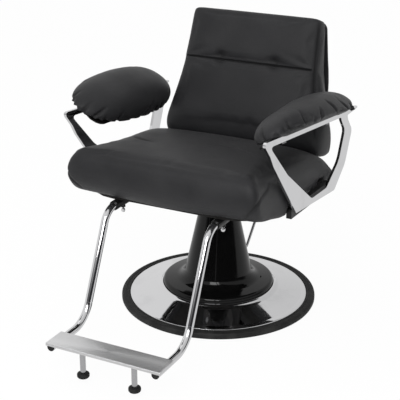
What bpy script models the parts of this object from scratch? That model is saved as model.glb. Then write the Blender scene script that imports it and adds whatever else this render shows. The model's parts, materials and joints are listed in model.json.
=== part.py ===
"""Hydraulic styling chair with arm rings, padded arms and a sliding footrest.

Units are metres and +Z is up. The origin is on the floor under the column. The sitter faces -Y,
and the sitter's left is +X.
"""
import math

import bmesh
import bpy
from mathutils import Matrix
from mathutils import Vector

# Clearances
GAP = 0.0003
RUN = 0.0004
STOP_GAP = 0.0005
CUT_LEAD = 0.010

# Round base
BASE_RADIUS = 0.300
RIM_WIDTH = 0.025
RIM_HEIGHT = 0.019
RIM_ROUND = 0.008
RIM_INNER_ROUND = 0.003
PLATE_EDGE = 0.0105
BOSS_RADIUS = 0.085
BOSS_RISE = 0.005
BORE_FLOOR = 0.014
DOME_SHEET = 0.0015
DOME_LIP_WIDTH = 0.0165
DOME_LIP_RISE = 0.0105
DOME_LIP_FALL = 0.003
DOME_LIP_ROUND = 0.006
DOME_BREAK_ROUND = 0.020
DOME_SLOPE = 0.258
DOME_TUCK = 0.020

# Column cover
COVER_RADIUS = 0.170
COVER_LIP = 0.0095
COVER_LIP_ROUND = 0.004
COVER_LIP_FALL = 0.001
COVER_FILLET = 0.066
COVER_CORNER_RADIUS = 0.1105
COVER_TOP_RADIUS = 0.055
COVER_TOP_BELOW_GLAND = 0.004
COVER_WALL = 0.004

# Pump column
CYLINDER_RADIUS = 0.040
CYLINDER_WALL = 0.006
CYLINDER_TOP = 0.300
GLAND_HEIGHT = 0.014
GLAND_OVERHANG = 0.003
WIPER_HEIGHT = 0.004
WIPER_WIDTH = 0.008
RAM_RADIUS = 0.027
RAM_BOTTOM = 0.032
PISTON_HEIGHT = 0.024
COLLAR_HEIGHT = 0.006
COLLAR_WIDTH = 0.010
SPIGOT_RADIUS = 0.022
SPIGOT_LENGTH = 0.026
BEARING_HEIGHT = 0.008
BEARING_CHAMFER = 0.001

# Pump lever
LEVER_TURN = math.radians(5)
LEVER_HEIGHT = 0.094
LEVER_PIVOT = 0.060
LEVER_RADIUS = 0.005
LEVER_CORNER = 0.170
LEVER_RISE = math.radians(53)
LEVER_STEEP_RUN = 0.123
LEVER_TAIL_RISE = math.radians(15)
LEVER_TAIL_RUN = 0.105
LEVER_BEND = 0.030
LEVER_STROKE = math.radians(10)
EYE_RADIUS = 0.010
EYE_WIDTH = 0.012
EYE_LAP = 0.003
PIN_RADIUS = 0.004
BLOCK_WIDTH = 0.036
BLOCK_DEPTH = 0.026
BLOCK_CROWN = 0.013
PEDAL_RADIUS = 0.014
PEDAL_LENGTH = 0.075
PEDAL_END = 0.006
PEDAL_ROUND = 0.005
PEDAL_MOUTH_ROUND = 0.003
SLOT_MARGIN = 0.003

# Swivel hub and seat frame
HUB_RADIUS = 0.038
HUB_HEIGHT = 0.030
HUB_FLANGE_RADIUS = 0.075
HUB_FLANGE = 0.010
HUB_BOLT_CIRCLE = 0.057
HUB_BOLTS = 4
FRAME_PLATE = 0.010
FRAME_PLATE_HALF = 0.095
FRAME_BAR_HEIGHT = 0.028
FRAME_BAR_WIDTH = 0.030
FRAME_WELD = 0.002
LONG_BAR_OFFSET = 0.075
LONG_BAR_FRONT = -0.200
LONG_BAR_REAR = 0.235
CROSS_BAR_FRONT = -0.100
CROSS_BAR_REAR = 0.080

# Cap screws
BOLT_RADIUS = 0.004
BOLT_HEAD_RADIUS = 0.0065
BOLT_HEAD = 0.005
BOLT_BITE = 0.005

# Footrest
TUBE_RADIUS = 0.0107
TUBE_WALL = 0.0015
TUBE_SPREAD = 0.159
TUBE_RAKE = math.radians(25)
TUBE_UPPER_BEND = 0.050
TUBE_LOWER_BEND = 0.080
TUBE_INSERT = 0.165
TUBE_DROP = 0.2878
TUBE_CORNER = -0.378
TUBE_END = -0.6755
SOCKET_WALL = 0.003
SOCKET_MOUTH = -0.3435
FOOTPLATE_WIDTH = 0.348
FOOTPLATE_DEPTH = 0.075
FOOTPLATE_HEIGHT = 0.0078
FOOTPLATE_SHEET = 0.0015
CAP_HEAD = 0.003
CAP_PLUG = 0.012
CAP_PLUG_EASE = 0.0009
LEG_SPREAD = 0.0794
LEG_RADIUS = 0.0078
LEG_BORE = 0.0046
LEG_BORE_TOP = 0.016
LEG_LENGTH = 0.0795
LEG_SETBACK = 0.0335
FOOT_RADIUS = 0.017
FOOT_HEIGHT = 0.014
FOOT_TOP_ROUND = 0.004
FOOT_SOLE_ROUND = 0.003
STEM_LENGTH = 0.055

# Clamp screws of the footrest
CLAMP_SETBACK = 0.050
CLAMP_STEM_RADIUS = 0.003
CLAMP_BALL_RADIUS = 0.006
CLAMP_BALL_DROP = 0.029
CLAMP_BOSS_RADIUS = 0.007
CLAMP_BOSS_DROP = 0.020

# Seat
BOARD_THICKNESS = 0.007
BOARD_INSET = 0.018
BOARD_FRONT_INSET = 0.060
BOARD_FRONT_ROUND = 0.110
BOARD_REAR_ROUND = 0.060
SEAT_HALF_WIDTH = 0.299
SEAT_FLARE = 0.007
SEAT_FRONT = -0.390
SEAT_REAR = 0.190
SEAT_FRONT_HEIGHT = 0.134
SEAT_REAR_HEIGHT = 0.066
SEAT_FALL_POWER = 0.8
SEAT_CROWN = 0.012
SEAT_CORNER = 0.03
SEAT_FOOT_CORNER = 0.08
SEAT_TOP_DRAW = 0.022
SEAT_SIDE_DRAW = 0.010
SEAT_FRONT_DRAW = 0.046
SEAT_REAR_ROLL = 0.92
SEAT_ROLL_START = 0.5

# Arm rings
ARM_CLEARANCE = 0.016
ARM_SPLAY = math.radians(2)
ARM_PLATE = 0.008
ARM_TIP_FRONT = -0.366
ARM_TIP_REAR = 0.275
ARM_RAIL_FRONT = 0.243
ARM_RAIL_REAR = 0.183
ARM_RAIL_HEIGHT = 0.016
ARM_TAIL_HEIGHT = 0.006
BRACKET_THICKNESS = 0.016
BRACKET_FRONT = -0.163
BRACKET_REAR = 0.105
BRACKET_TOP = 0.006
BRACKET_HEIGHT = 0.028
ARM_BOLT_FRONT = -0.055
ARM_BOLT_REAR = 0.030
ARM_BOLT_FRONT_DROP = 0.014
ARM_BOLT_REAR_DROP = 0.021

# Arm ring outline: places along the arm, heights above the seat frame's top, and corner radii
ARM_EDGE = ((-0.324, 0.196, 0.030), (-0.304, 0.164, 0.030), (-0.149, -0.019, 0.008),
            (0.122, -0.039, 0.015), (0.196, 0.022, 0.060), (0.240, 0.118, 0.020), (0.204, 0.160, 0.015))
ARM_OPENING = ((-0.294, 0.192, 0.030), (-0.213, 0.113, 0.080), (-0.045, -0.010, 0.030),
               (0.060, -0.012, 0.015), (0.146, 0.046, 0.060), (0.184, 0.132, 0.020), (0.154, 0.168, 0.012))
ARM_UNDER_FRONT = -0.326
ARM_UNDER_REAR = 0.149
ARM_TAIL_START = 0.200
ARM_TAIL_TAPER = 0.004
ARM_TIP_ROUND = 0.003
ARM_TAIL_ROUND = 0.001
ARM_UNDER_ROUND = 0.004

# Arm pads
PAD_ROLL = math.radians(30)
PAD_CENTRE = -0.056
PAD_SHIFT = -0.0146
PAD_SINK = 0.0104
PAD_HALF_LENGTH = 0.2515
PAD_HALF_WIDTH = 0.0955
PAD_CROWN = 0.074
PAD_BASE = 0.010
PAD_FLAT = 0.75
PAD_FULLNESS = 0.85
PAD_GATHERS = 16
PAD_GATHER_DEPTH = 0.05
PAD_GATHER_LEVEL = -0.1
PAD_GATHER_REACH = 0.75
PAD_BOARD_THICKNESS = 0.004
PAD_BOARD_INSET = 0.035
PAD_BOARD_ROUND = 0.030
PAD_SCREW_PLACE = 0.027
PAD_SCREW_BITE = 0.003
TAB_REACH = 0.042
TAB_WIDTH = 0.036
TAB_THICKNESS = 0.004
TAB_SPREAD = 0.145
TAB_WELD = 0.0015

# Back
BACK_LEAN = 0.336
BACK_SEAM_FACE = 0.188
BACK_SEAM = 0.298
BACK_TOP = 0.442
BACK_TOP_FALL = 0.020
BACK_BOTTOM = 0.022
BACK_ROLL_TOP = 0.090
BACK_ROLL_DEPTH = 0.150
BACK_TOP_HALF_WIDTH = 0.210
BACK_SEAM_HALF_WIDTH = 0.220
BACK_LOW_HALF_WIDTH = 0.265
BACK_ROLL_NARROWING = 0.050
BACK_WAIST_POWER = 1.3
BACK_TOP_ROUND = 0.024
BACK_REAR_FACE = 0.291
BACK_EDGE_INSET = 0.004
BACK_PUFF = 0.006
SEAM_DEPTH = 0.010
SEAM_WIDTH = 0.007
TUFT_SPREAD = 0.090
TUFT_ABOVE_SEAM = 0.012
TUFT_DEPTH = 0.010
TUFT_WIDTH = 0.014
BACK_BOARD_THICKNESS = 0.010
BACK_BOARD_INSET = 0.014
BACK_BOARD_ROUND = 0.030
BACK_BAR_THICKNESS = 0.008
BACK_BAR_WIDTH = 0.032
BACK_BAR_FOOT = 0.115
BACK_BAR_TOP = 0.270
BACK_BAR_BEND = 0.030
BACK_BAR_TIP_ROUND = 0.003
BACK_BOLT_LOW = 0.150
BACK_BOLT_HIGH = 0.230

# Facets of round pieces
BASE_STEPS = 40
PUMP_STEPS = 20
SCREW_STEPS = 10
SOCKET_STEPS = 16
BALL_STEPS = 6
ARC_STEPS = 3
BEND_STEPS = 5
PAD_STEPS = 9
SIDE_SHARE = 0.49

# Heights and places worked out from the sizes above
plate_radius = BASE_RADIUS - RIM_WIDTH - GAP
lip_radius = plate_radius - DOME_LIP_WIDTH
dome_foot = PLATE_EDGE + GAP
cylinder_bore = CYLINDER_RADIUS - CYLINDER_WALL
gland_bottom = CYLINDER_TOP + GAP
gland_top = gland_bottom + GLAND_HEIGHT
wiper_top = gland_top + GAP + WIPER_HEIGHT
collar_bottom = wiper_top + STOP_GAP
collar_top = collar_bottom + COLLAR_HEIGHT
bearing_top = collar_top + GAP + BEARING_HEIGHT
hub_bottom = bearing_top + GAP
hub_top = hub_bottom + HUB_HEIGHT
frame_bottom = hub_top + GAP
frame_top = frame_bottom + FRAME_PLATE + FRAME_BAR_HEIGHT
board_top = frame_top + GAP + BOARD_THICKNESS
arm_offset = SEAT_HALF_WIDTH + ARM_CLEARANCE
socket_radius = TUBE_RADIUS + RUN + SOCKET_WALL
tube_top_axis = frame_top - GAP - socket_radius
tube_low_axis = tube_top_axis - TUBE_DROP
footplate_top = tube_low_axis + TUBE_RADIUS + GAP + FOOTPLATE_SHEET


def dome_height(radius):
    """Height of the dome's cone at a radius."""
    return dome_foot + DOME_LIP_RISE + (lip_radius - radius) * DOME_SLOPE


def plate_height(radius):
    """Height of the base plate's cone at a radius."""
    return PLATE_EDGE + (lip_radius - radius) * DOME_SLOPE


boss_top = plate_height(BOSS_RADIUS) + BOSS_RISE


def rail_height(y):
    """Height of the arm rail's top edge above the frame at a place along the arm."""
    share = (y - ARM_TIP_FRONT) / (ARM_TIP_REAR - ARM_TIP_FRONT)
    return ARM_RAIL_FRONT + (ARM_RAIL_REAR - ARM_RAIL_FRONT) * share


rail_slope = math.atan2(ARM_RAIL_REAR - ARM_RAIL_FRONT, ARM_TIP_REAR - ARM_TIP_FRONT)


# Scene and collections
for old in list(bpy.data.objects):
    bpy.data.objects.remove(old)

parts = bpy.data.collections.new("styling_chair")
cutters = bpy.data.collections.new("cutters")
bpy.context.scene.collection.children.link(parts)
bpy.context.scene.collection.children.link(cutters)


def finish(name, colour, metallic, roughness):
    """A plain surface finish."""
    made = bpy.data.materials.new(name)
    made.use_nodes = True
    shader = made.node_tree.nodes["Principled BSDF"]
    shader.inputs["Base Color"].default_value = (*colour, 1.0)
    shader.inputs["Metallic"].default_value = metallic
    shader.inputs["Roughness"].default_value = roughness
    return made


LEATHER = finish("black_leather", (0.030, 0.030, 0.033), 0.0, 0.45)
CHROME = finish("polished_chrome", (0.80, 0.80, 0.81), 1.0, 0.06)
BRUSHED = finish("brushed_steel", (0.62, 0.62, 0.62), 1.0, 0.32)
RUBBER = finish("black_rubber", (0.030, 0.030, 0.030), 0.0, 0.75)
GLOSS = finish("gloss_black_plastic", (0.006, 0.006, 0.006), 0.0, 0.10)
ENAMEL = finish("black_enamel", (0.010, 0.010, 0.010), 0.0, 0.40)
IRON = finish("cast_iron", (0.060, 0.060, 0.062), 0.6, 0.60)
STEEL = finish("ground_steel", (0.45, 0.45, 0.46), 1.0, 0.25)
BOARD = finish("black_stained_board", (0.016, 0.016, 0.016), 0.0, 0.65)


# Modelling helpers
def place(name, data, material, parent=None, matrix=None):
    """Put mesh or curve data in the model as a named piece."""
    piece = bpy.data.objects.new(name, data)
    parts.objects.link(piece)
    data.materials.clear()
    data.materials.append(material)
    piece.parent = parent
    if matrix is not None:
        piece.matrix_local = matrix
    return piece


def empty(name, matrix, parent=None):
    """A reference frame that carries pieces."""
    frame = bpy.data.objects.new(name, None)
    parts.objects.link(frame)
    frame.parent = parent
    frame.matrix_local = matrix
    return frame


def rounded(corners, closed=True, steps=ARC_STEPS):
    """Corners (a, b, radius) with every corner replaced by an arc that its sides can hold."""
    points = []
    last = len(corners) - 1
    for index, (a, b, radius) in enumerate(corners):
        corner = Vector((a, b))
        is_end = not closed and index in (0, last)
        if radius == 0 or is_end:
            points.append(corner)
            continue
        before = Vector(corners[index - 1][:2]) - corner
        after = Vector(corners[(index + 1) % len(corners)][:2]) - corner
        half = before.angle(after) / 2
        reach = min(radius / math.tan(half), SIDE_SHARE * before.length, SIDE_SHARE * after.length)
        fitted = reach * math.tan(half)
        towards = before.normalized() + after.normalized()
        centre = corner + towards.normalized() * (fitted / math.sin(half))
        start = corner + before.normalized() * reach - centre
        end = corner + after.normalized() * reach - centre
        turn = math.atan2(start.x * end.y - start.y * end.x, start.dot(end))
        for step in range(steps + 1):
            points.append(centre + Matrix.Rotation(turn * step / steps, 2) @ start)
    return points


def profile_mesh(name, points, closed):
    """A chain of edges in the XZ plane, for turning."""
    mesh = bpy.data.meshes.new(name)
    form = bmesh.new()
    verts = [form.verts.new((radius, 0.0, height)) for radius, height in points]
    for start, end in zip(verts, verts[1:]):
        form.edges.new((start, end))
    if closed:
        form.edges.new((verts[-1], verts[0]))
    form.to_mesh(mesh)
    form.free()
    return mesh


def smooth(mesh):
    """Smooth shading with crisp corners."""
    mesh.shade_smooth()
    mesh.set_sharp_from_angle(angle=math.radians(40))


def turned(name, points, material, steps, closed=True, sheet=0.0, parent=None, matrix=None):
    """A body of revolution about Z, listed down its outer side; an open one gets a sheet thickness."""
    piece = place(name, profile_mesh(name, points, closed), material, parent, matrix)
    spin = piece.modifiers.new("turn", "SCREW")
    spin.axis = "Z"
    spin.angle = 2 * math.pi
    spin.steps = steps
    spin.render_steps = steps
    spin.use_merge_vertices = True
    spin.merge_threshold = 0.00001
    spin.use_smooth_shade = True
    if sheet:
        shell = piece.modifiers.new("sheet", "SOLIDIFY")
        shell.thickness = sheet
        shell.offset = -1
    return piece


def tube_curve(name, points, radius):
    """A round bar along a chain of points."""
    curve = bpy.data.curves.new(name, "CURVE")
    curve.dimensions = "3D"
    curve.bevel_depth = radius
    curve.bevel_resolution = 3
    curve.use_fill_caps = True
    spline = curve.splines.new("POLY")
    spline.points.add(len(points) - 1)
    for spot, point in zip(spline.points, points):
        spot.co = (*point, 1.0)
    return curve


def outline_curve(name, outlines, thickness):
    """A flat plate from closed outlines, the first its edge and the others its holes."""
    curve = bpy.data.curves.new(name, "CURVE")
    curve.dimensions = "2D"
    curve.fill_mode = "BOTH"
    curve.extrude = thickness / 2
    for outline in outlines:
        spline = curve.splines.new("POLY")
        spline.points.add(len(outline) - 1)
        for spot, point in zip(spline.points, outline):
            spot.co = (point[0], point[1], 0.0, 1.0)
        spline.use_cyclic_u = True
    return curve


def curve_mesh(name, curve):
    """The welded mesh of a curve, ready for cutting."""
    holder = bpy.data.objects.new(name, curve)
    parts.objects.link(holder)
    evaluated = holder.evaluated_get(bpy.context.evaluated_depsgraph_get())
    mesh = bpy.data.meshes.new_from_object(evaluated)
    mesh.name = name
    form = bmesh.new()
    form.from_mesh(mesh)
    bmesh.ops.remove_doubles(form, verts=form.verts, dist=0.00001)
    bmesh.ops.recalc_face_normals(form, faces=form.faces)
    form.to_mesh(mesh)
    form.free()
    smooth(mesh)
    bpy.data.objects.remove(holder)
    bpy.data.curves.remove(curve)
    return mesh


def block_mesh(name, low, high):
    """A rectangular block between two corners."""
    mesh = bpy.data.meshes.new(name)
    size = [b - a for a, b in zip(low, high)]
    middle = [(a + b) / 2 for a, b in zip(low, high)]
    form = bmesh.new()
    bmesh.ops.create_cube(form, size=1.0, matrix=Matrix.Translation(middle) @ Matrix.Diagonal((*size, 1.0)))
    form.to_mesh(mesh)
    form.free()
    return mesh


def rod_mesh(name, rods, steps=SCREW_STEPS):
    """Round rods, each given by its start, its direction with length, and its radius."""
    mesh = bpy.data.meshes.new(name)
    form = bmesh.new()
    for start, run, radius in rods:
        run = Vector(run)
        turn = run.to_track_quat("Z", "Y").to_matrix().to_4x4()
        middle = Matrix.Translation(Vector(start) + run / 2)
        bmesh.ops.create_cone(form, cap_ends=True, segments=steps, radius1=radius, radius2=radius,
                              depth=run.length, matrix=middle @ turn)
    form.to_mesh(mesh)
    form.free()
    smooth(mesh)
    return mesh


def cutter(name, mesh, parent=None, matrix=None):
    """A tool body that is left out of the model."""
    tool = bpy.data.objects.new(name, mesh)
    cutters.objects.link(tool)
    tool.parent = parent
    if matrix is not None:
        tool.matrix_local = matrix
    tool.hide_render = True
    tool.display_type = "WIRE"
    return tool


def combine(piece, tool, operation):
    """Join a tool body to a piece, or cut it away."""
    change = piece.modifiers.new(operation.lower(), "BOOLEAN")
    change.operation = operation
    change.object = tool
    change.solver = "EXACT"


def cap_screw(name, start, direction, grip, parent, bite=BOLT_BITE):
    """A cap screw whose head rests at start, with its shank along direction."""
    shank = grip + bite - GAP
    outline = [(0.0, BOLT_HEAD), (BOLT_HEAD_RADIUS, BOLT_HEAD), (BOLT_HEAD_RADIUS, GAP),
               (BOLT_RADIUS, GAP), (BOLT_RADIUS, -shank), (0.0, -shank)]
    turn = (-Vector(direction)).to_track_quat("Z", "Y").to_matrix().to_4x4()
    turned(name, outline, STEEL, SCREW_STEPS, closed=False, parent=parent,
           matrix=Matrix.Translation(start) @ turn)


def screw_hole(start, direction, depth):
    """The hole for a cap screw, as a rod that begins a little before its start."""
    lead = BOLT_HEAD / 2
    along = Vector(direction)
    return Vector(start) - along * lead, along * (depth + lead), BOLT_RADIUS + 2 * GAP


def soft_form(name, columns, rows, layers, shape, material, parent=None, matrix=None):
    """A cushion from a coarse cage: a box grid whose points are placed by a shape function."""
    mesh = bpy.data.meshes.new(name)
    form = bmesh.new()
    across = len(columns) - 1
    along = len(rows) - 1
    bmesh.ops.create_grid(form, x_segments=across, y_segments=along, size=0.5)
    for vert in form.verts:
        vert.co = (round((vert.co.x + 0.5) * across), round((vert.co.y + 0.5) * along), 0.0)
    skin = list(form.faces)
    for level in range(1, len(layers)):
        grown = bmesh.ops.extrude_face_region(form, geom=skin, use_keep_orig=True)["geom"]
        for vert in (item for item in grown if isinstance(item, bmesh.types.BMVert)):
            vert.co.z = level
        if level > 1:
            bmesh.ops.delete(form, geom=skin, context="FACES")
        skin = [item for item in grown if isinstance(item, bmesh.types.BMFace)]
    for vert in form.verts:
        column, row, layer = (round(value) for value in vert.co)
        vert.co = shape(columns[column], rows[row], layers[layer])
    form.normal_update()
    bmesh.ops.recalc_face_normals(form, faces=form.faces)
    form.to_mesh(mesh)
    form.free()
    piece = place(name, mesh, material, parent, matrix)
    piece.data.shade_smooth()
    soften = piece.modifiers.new("soften", "SUBSURF")
    soften.levels = 1
    soften.render_levels = 1
    return piece


def both_sides():
    """The sitter's left and right, with their signs along X."""
    return (("left", 1), ("right", -1))


# Base
def make_base():
    rim = rounded([(BASE_RADIUS, RIM_HEIGHT, RIM_ROUND), (BASE_RADIUS, 0.0, 0.0),
                   (plate_radius + GAP, 0.0, 0.0), (plate_radius + GAP, RIM_HEIGHT, RIM_INNER_ROUND)])
    turned("base_rim", rim, RUBBER, BASE_STEPS)

    cylinder_hole = CYLINDER_RADIUS + GAP
    plate = [(cylinder_hole, boss_top), (BOSS_RADIUS, boss_top), (BOSS_RADIUS, plate_height(BOSS_RADIUS)),
             (lip_radius, PLATE_EDGE), (plate_radius, PLATE_EDGE), (plate_radius, 0.0), (0.0, 0.0),
             (0.0, BORE_FLOOR), (cylinder_hole, BORE_FLOOR)]
    inner_start = plate[-2:] + plate[:-2]
    turned("base_plate", inner_start, IRON, BASE_STEPS, closed=False)

    dome_inner = COVER_RADIUS - DOME_TUCK
    lip_top = dome_foot + DOME_LIP_RISE
    dome = rounded([(dome_inner, dome_height(dome_inner), 0.0), (lip_radius, lip_top, DOME_BREAK_ROUND),
                    (plate_radius, lip_top - DOME_LIP_FALL, DOME_LIP_ROUND), (plate_radius, dome_foot, 0.0)],
                   closed=False)
    turned("base_dome", dome, CHROME, BASE_STEPS, closed=False, sheet=DOME_SHEET)


def cover_foot():
    """Height of the cover's lower edge, which rests on the dome."""
    return dome_height(COVER_RADIUS - COVER_WALL) + 2 * GAP


def make_column_cover():
    foot = cover_foot()
    top = gland_top - COVER_TOP_BELOW_GLAND
    flange = foot + COVER_LIP
    outline = rounded([(COVER_TOP_RADIUS, top, 0.0), (COVER_CORNER_RADIUS, flange, COVER_FILLET),
                       (COVER_RADIUS, flange - COVER_LIP_FALL, COVER_LIP_ROUND), (COVER_RADIUS, foot, 0.0)],
                      closed=False, steps=BEND_STEPS)
    cover = turned("column_cover", outline, GLOSS, BASE_STEPS, closed=False, sheet=COVER_WALL)

    half_slot = LEVER_RADIUS + SLOT_MARGIN
    drop = (COVER_CORNER_RADIUS + COVER_FILLET - LEVER_PIVOT) * math.sin(LEVER_STROKE)
    slot = block_mesh("lever_slot",
                      (-half_slot, COVER_TOP_RADIUS, LEVER_HEIGHT - half_slot - drop / 2),
                      (half_slot, COVER_RADIUS - COVER_FILLET / 2, LEVER_HEIGHT + half_slot))
    combine(cover, cutter("lever_slot", slot, matrix=Matrix.Rotation(-LEVER_TURN, 4, "Z")), "DIFFERENCE")


# Pump and ram
def make_pump():
    bottom = BORE_FLOOR + GAP
    cylinder = [(0.0, bottom + CYLINDER_WALL), (cylinder_bore, bottom + CYLINDER_WALL),
                (cylinder_bore, CYLINDER_TOP), (CYLINDER_RADIUS, CYLINDER_TOP),
                (CYLINDER_RADIUS, bottom), (0.0, bottom)]
    turned("pump_cylinder", cylinder, STEEL, PUMP_STEPS, closed=False)

    gland_radius = CYLINDER_RADIUS + GLAND_OVERHANG
    ram_hole = RAM_RADIUS + RUN
    gland = [(gland_radius, gland_top), (gland_radius, gland_bottom),
             (ram_hole, gland_bottom), (ram_hole, gland_top)]
    turned("gland_nut", gland, STEEL, PUMP_STEPS)
    wiper_foot = gland_top + GAP
    wiper = [(ram_hole + WIPER_WIDTH, wiper_foot + WIPER_HEIGHT / 2), (ram_hole + WIPER_WIDTH, wiper_foot),
             (ram_hole, wiper_foot), (ram_hole, wiper_top)]
    turned("ram_wiper", wiper, RUBBER, PUMP_STEPS)


def make_ram():
    lift = empty("lift_frame", Matrix.Identity(4))
    collar_radius = RAM_RADIUS + COLLAR_WIDTH
    ram_top = collar_top + SPIGOT_LENGTH
    ram = [(0.0, ram_top), (SPIGOT_RADIUS, ram_top), (SPIGOT_RADIUS, collar_top),
           (collar_radius, collar_top), (collar_radius, collar_bottom), (RAM_RADIUS, collar_bottom),
           (RAM_RADIUS, RAM_BOTTOM), (0.0, RAM_BOTTOM)]
    turned("ram", ram, CHROME, PUMP_STEPS, closed=False, parent=lift)

    piston_radius = cylinder_bore - RUN
    ram_fit = RAM_RADIUS + GAP
    piston = [(piston_radius, RAM_BOTTOM + PISTON_HEIGHT), (piston_radius, RAM_BOTTOM),
              (ram_fit, RAM_BOTTOM), (ram_fit, RAM_BOTTOM + PISTON_HEIGHT)]
    turned("piston", piston, STEEL, PUMP_STEPS, parent=lift)

    race = SPIGOT_RADIUS + GAP
    bearing = rounded([(collar_radius, bearing_top, BEARING_CHAMFER),
                       (collar_radius, collar_top + GAP, BEARING_CHAMFER),
                       (race, collar_top + GAP, 0.0), (race, bearing_top, 0.0)], steps=1)
    turned("thrust_bearing", bearing, STEEL, PUMP_STEPS, parent=lift)


# Pump lever, in a frame that is turned to the lever's direction
def make_lever():
    base = empty("lever_base", Matrix.Rotation(-LEVER_TURN, 4, "Z"))
    pivot = empty("lever_pivot", Matrix.Translation((0.0, LEVER_PIVOT, LEVER_HEIGHT)), base)

    half_block = BLOCK_WIDTH / 2
    half_depth = BLOCK_DEPTH / 2
    block_form = block_mesh("pump_block", (-half_block, LEVER_PIVOT - half_depth, boss_top + GAP),
                            (half_block, LEVER_PIVOT + half_depth, LEVER_HEIGHT + BLOCK_CROWN))
    block = place("pump_block", block_form, IRON, base)
    half_eye = EYE_WIDTH / 2 + RUN
    eye_room = EYE_RADIUS + RUN + GAP
    gap_tool = block_mesh("block_gap", (-half_eye, LEVER_PIVOT - eye_room, LEVER_HEIGHT - eye_room),
                          (half_eye, LEVER_PIVOT + BLOCK_DEPTH, LEVER_HEIGHT + 2 * BLOCK_CROWN))
    combine(block, cutter("block_gap", gap_tool, base), "DIFFERENCE")
    pin_start = (-half_block, LEVER_PIVOT, LEVER_HEIGHT)
    pin_tool = rod_mesh("pin_hole", [((-BLOCK_WIDTH, LEVER_PIVOT, LEVER_HEIGHT),
                                      (2 * BLOCK_WIDTH, 0.0, 0.0), PIN_RADIUS + GAP)])
    combine(block, cutter("pin_hole", pin_tool, base), "DIFFERENCE")
    place("lever_pin", rod_mesh("lever_pin", [(pin_start, (BLOCK_WIDTH, 0.0, 0.0), PIN_RADIUS)]), STEEL, base)

    corner = LEVER_CORNER - LEVER_PIVOT
    steep = (corner + LEVER_STEEP_RUN * math.cos(LEVER_RISE), LEVER_STEEP_RUN * math.sin(LEVER_RISE))
    tail = (steep[0] + LEVER_TAIL_RUN * math.cos(LEVER_TAIL_RISE),
            steep[1] + LEVER_TAIL_RUN * math.sin(LEVER_TAIL_RISE))
    route = rounded([(EYE_RADIUS - EYE_LAP, 0.0, 0.0), (corner, 0.0, LEVER_BEND), (*steep, LEVER_BEND),
                     (*tail, 0.0)], closed=False)
    rod = curve_mesh("pump_lever", tube_curve("pump_lever", [(0.0, a, b) for a, b in route], LEVER_RADIUS))
    lever = place("pump_lever", rod, CHROME, pivot)
    half = EYE_WIDTH / 2
    eye = rod_mesh("lever_eye", [((-half, 0.0, 0.0), (EYE_WIDTH, 0.0, 0.0), EYE_RADIUS)])
    combine(lever, cutter("lever_eye", eye, pivot), "UNION")
    eye_hole = rod_mesh("lever_eye_hole", [((-EYE_WIDTH, 0.0, 0.0), (2 * EYE_WIDTH, 0.0, 0.0),
                                            PIN_RADIUS + RUN)])
    combine(lever, cutter("lever_eye_hole", eye_hole, pivot), "DIFFERENCE")

    bore = LEVER_RADIUS + GAP
    bore_end = PEDAL_LENGTH - PEDAL_END
    pedal = rounded([(0.0, PEDAL_LENGTH, 0.0), (PEDAL_RADIUS, PEDAL_LENGTH, PEDAL_ROUND),
                     (PEDAL_RADIUS, 0.0, PEDAL_MOUTH_ROUND), (bore, 0.0, 0.0), (bore, bore_end, 0.0),
                     (0.0, bore_end, 0.0)], closed=False)
    along = Vector((0.0, math.cos(LEVER_TAIL_RISE), math.sin(LEVER_TAIL_RISE)))
    start = Vector((0.0, *tail)) - along * (bore_end - GAP)
    turn = along.to_track_quat("Z", "Y").to_matrix().to_4x4()
    turned("lever_pedal", pedal, RUBBER, SCREW_STEPS, closed=False, parent=pivot,
           matrix=Matrix.Translation(start) @ turn)


# Swivel hub and seat frame
def hub_bolt_places():
    """Plan places of the hub's bolts."""
    for index in range(HUB_BOLTS):
        angle = 2 * math.pi * (index + 0.5) / HUB_BOLTS
        yield HUB_BOLT_CIRCLE * math.cos(angle), HUB_BOLT_CIRCLE * math.sin(angle)


def make_hub(seat):
    bore = SPIGOT_RADIUS + RUN
    bore_top = collar_top + SPIGOT_LENGTH + RUN
    hub = [(0.0, hub_top), (HUB_FLANGE_RADIUS, hub_top), (HUB_FLANGE_RADIUS, hub_top - HUB_FLANGE),
           (HUB_RADIUS, hub_top - HUB_FLANGE), (HUB_RADIUS, hub_bottom), (bore, hub_bottom),
           (bore, bore_top), (0.0, bore_top)]
    body = turned("swivel_hub", hub, IRON, PUMP_STEPS, closed=False, parent=seat)
    under = hub_top - HUB_FLANGE
    holes = []
    for index, (x, y) in enumerate(hub_bolt_places()):
        cap_screw(f"hub_bolt_{index + 1}", (x, y, under), (0.0, 0.0, 1.0), HUB_FLANGE, seat)
        holes.append(screw_hole((x, y, under), (0.0, 0.0, 1.0), HUB_FLANGE + BOLT_BITE + GAP))
    tool = cutter("hub_bolt_holes", rod_mesh("hub_bolt_holes", holes), seat)
    combine(body, tool, "DIFFERENCE")
    return tool


def arm_matrix(side):
    """The frame of an arm ring: on the ring's middle plane, at the height of the seat frame's top."""
    turn = Matrix.Rotation(-side * ARM_SPLAY, 4, "Z")
    return Matrix.Translation((side * arm_offset, 0.0, frame_top)) @ turn


def bracket_face():
    """Distance from an arm ring's middle plane to the inner face of its bracket."""
    return ARM_PLATE / 2 + GAP + BRACKET_THICKNESS


def cross_bar_end(y):
    """Half length of a cross bar that stops short of the splayed brackets."""
    near = y - FRAME_BAR_WIDTH / 2
    return arm_offset + near * math.tan(ARM_SPLAY) - bracket_face() / math.cos(ARM_SPLAY) - GAP


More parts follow.
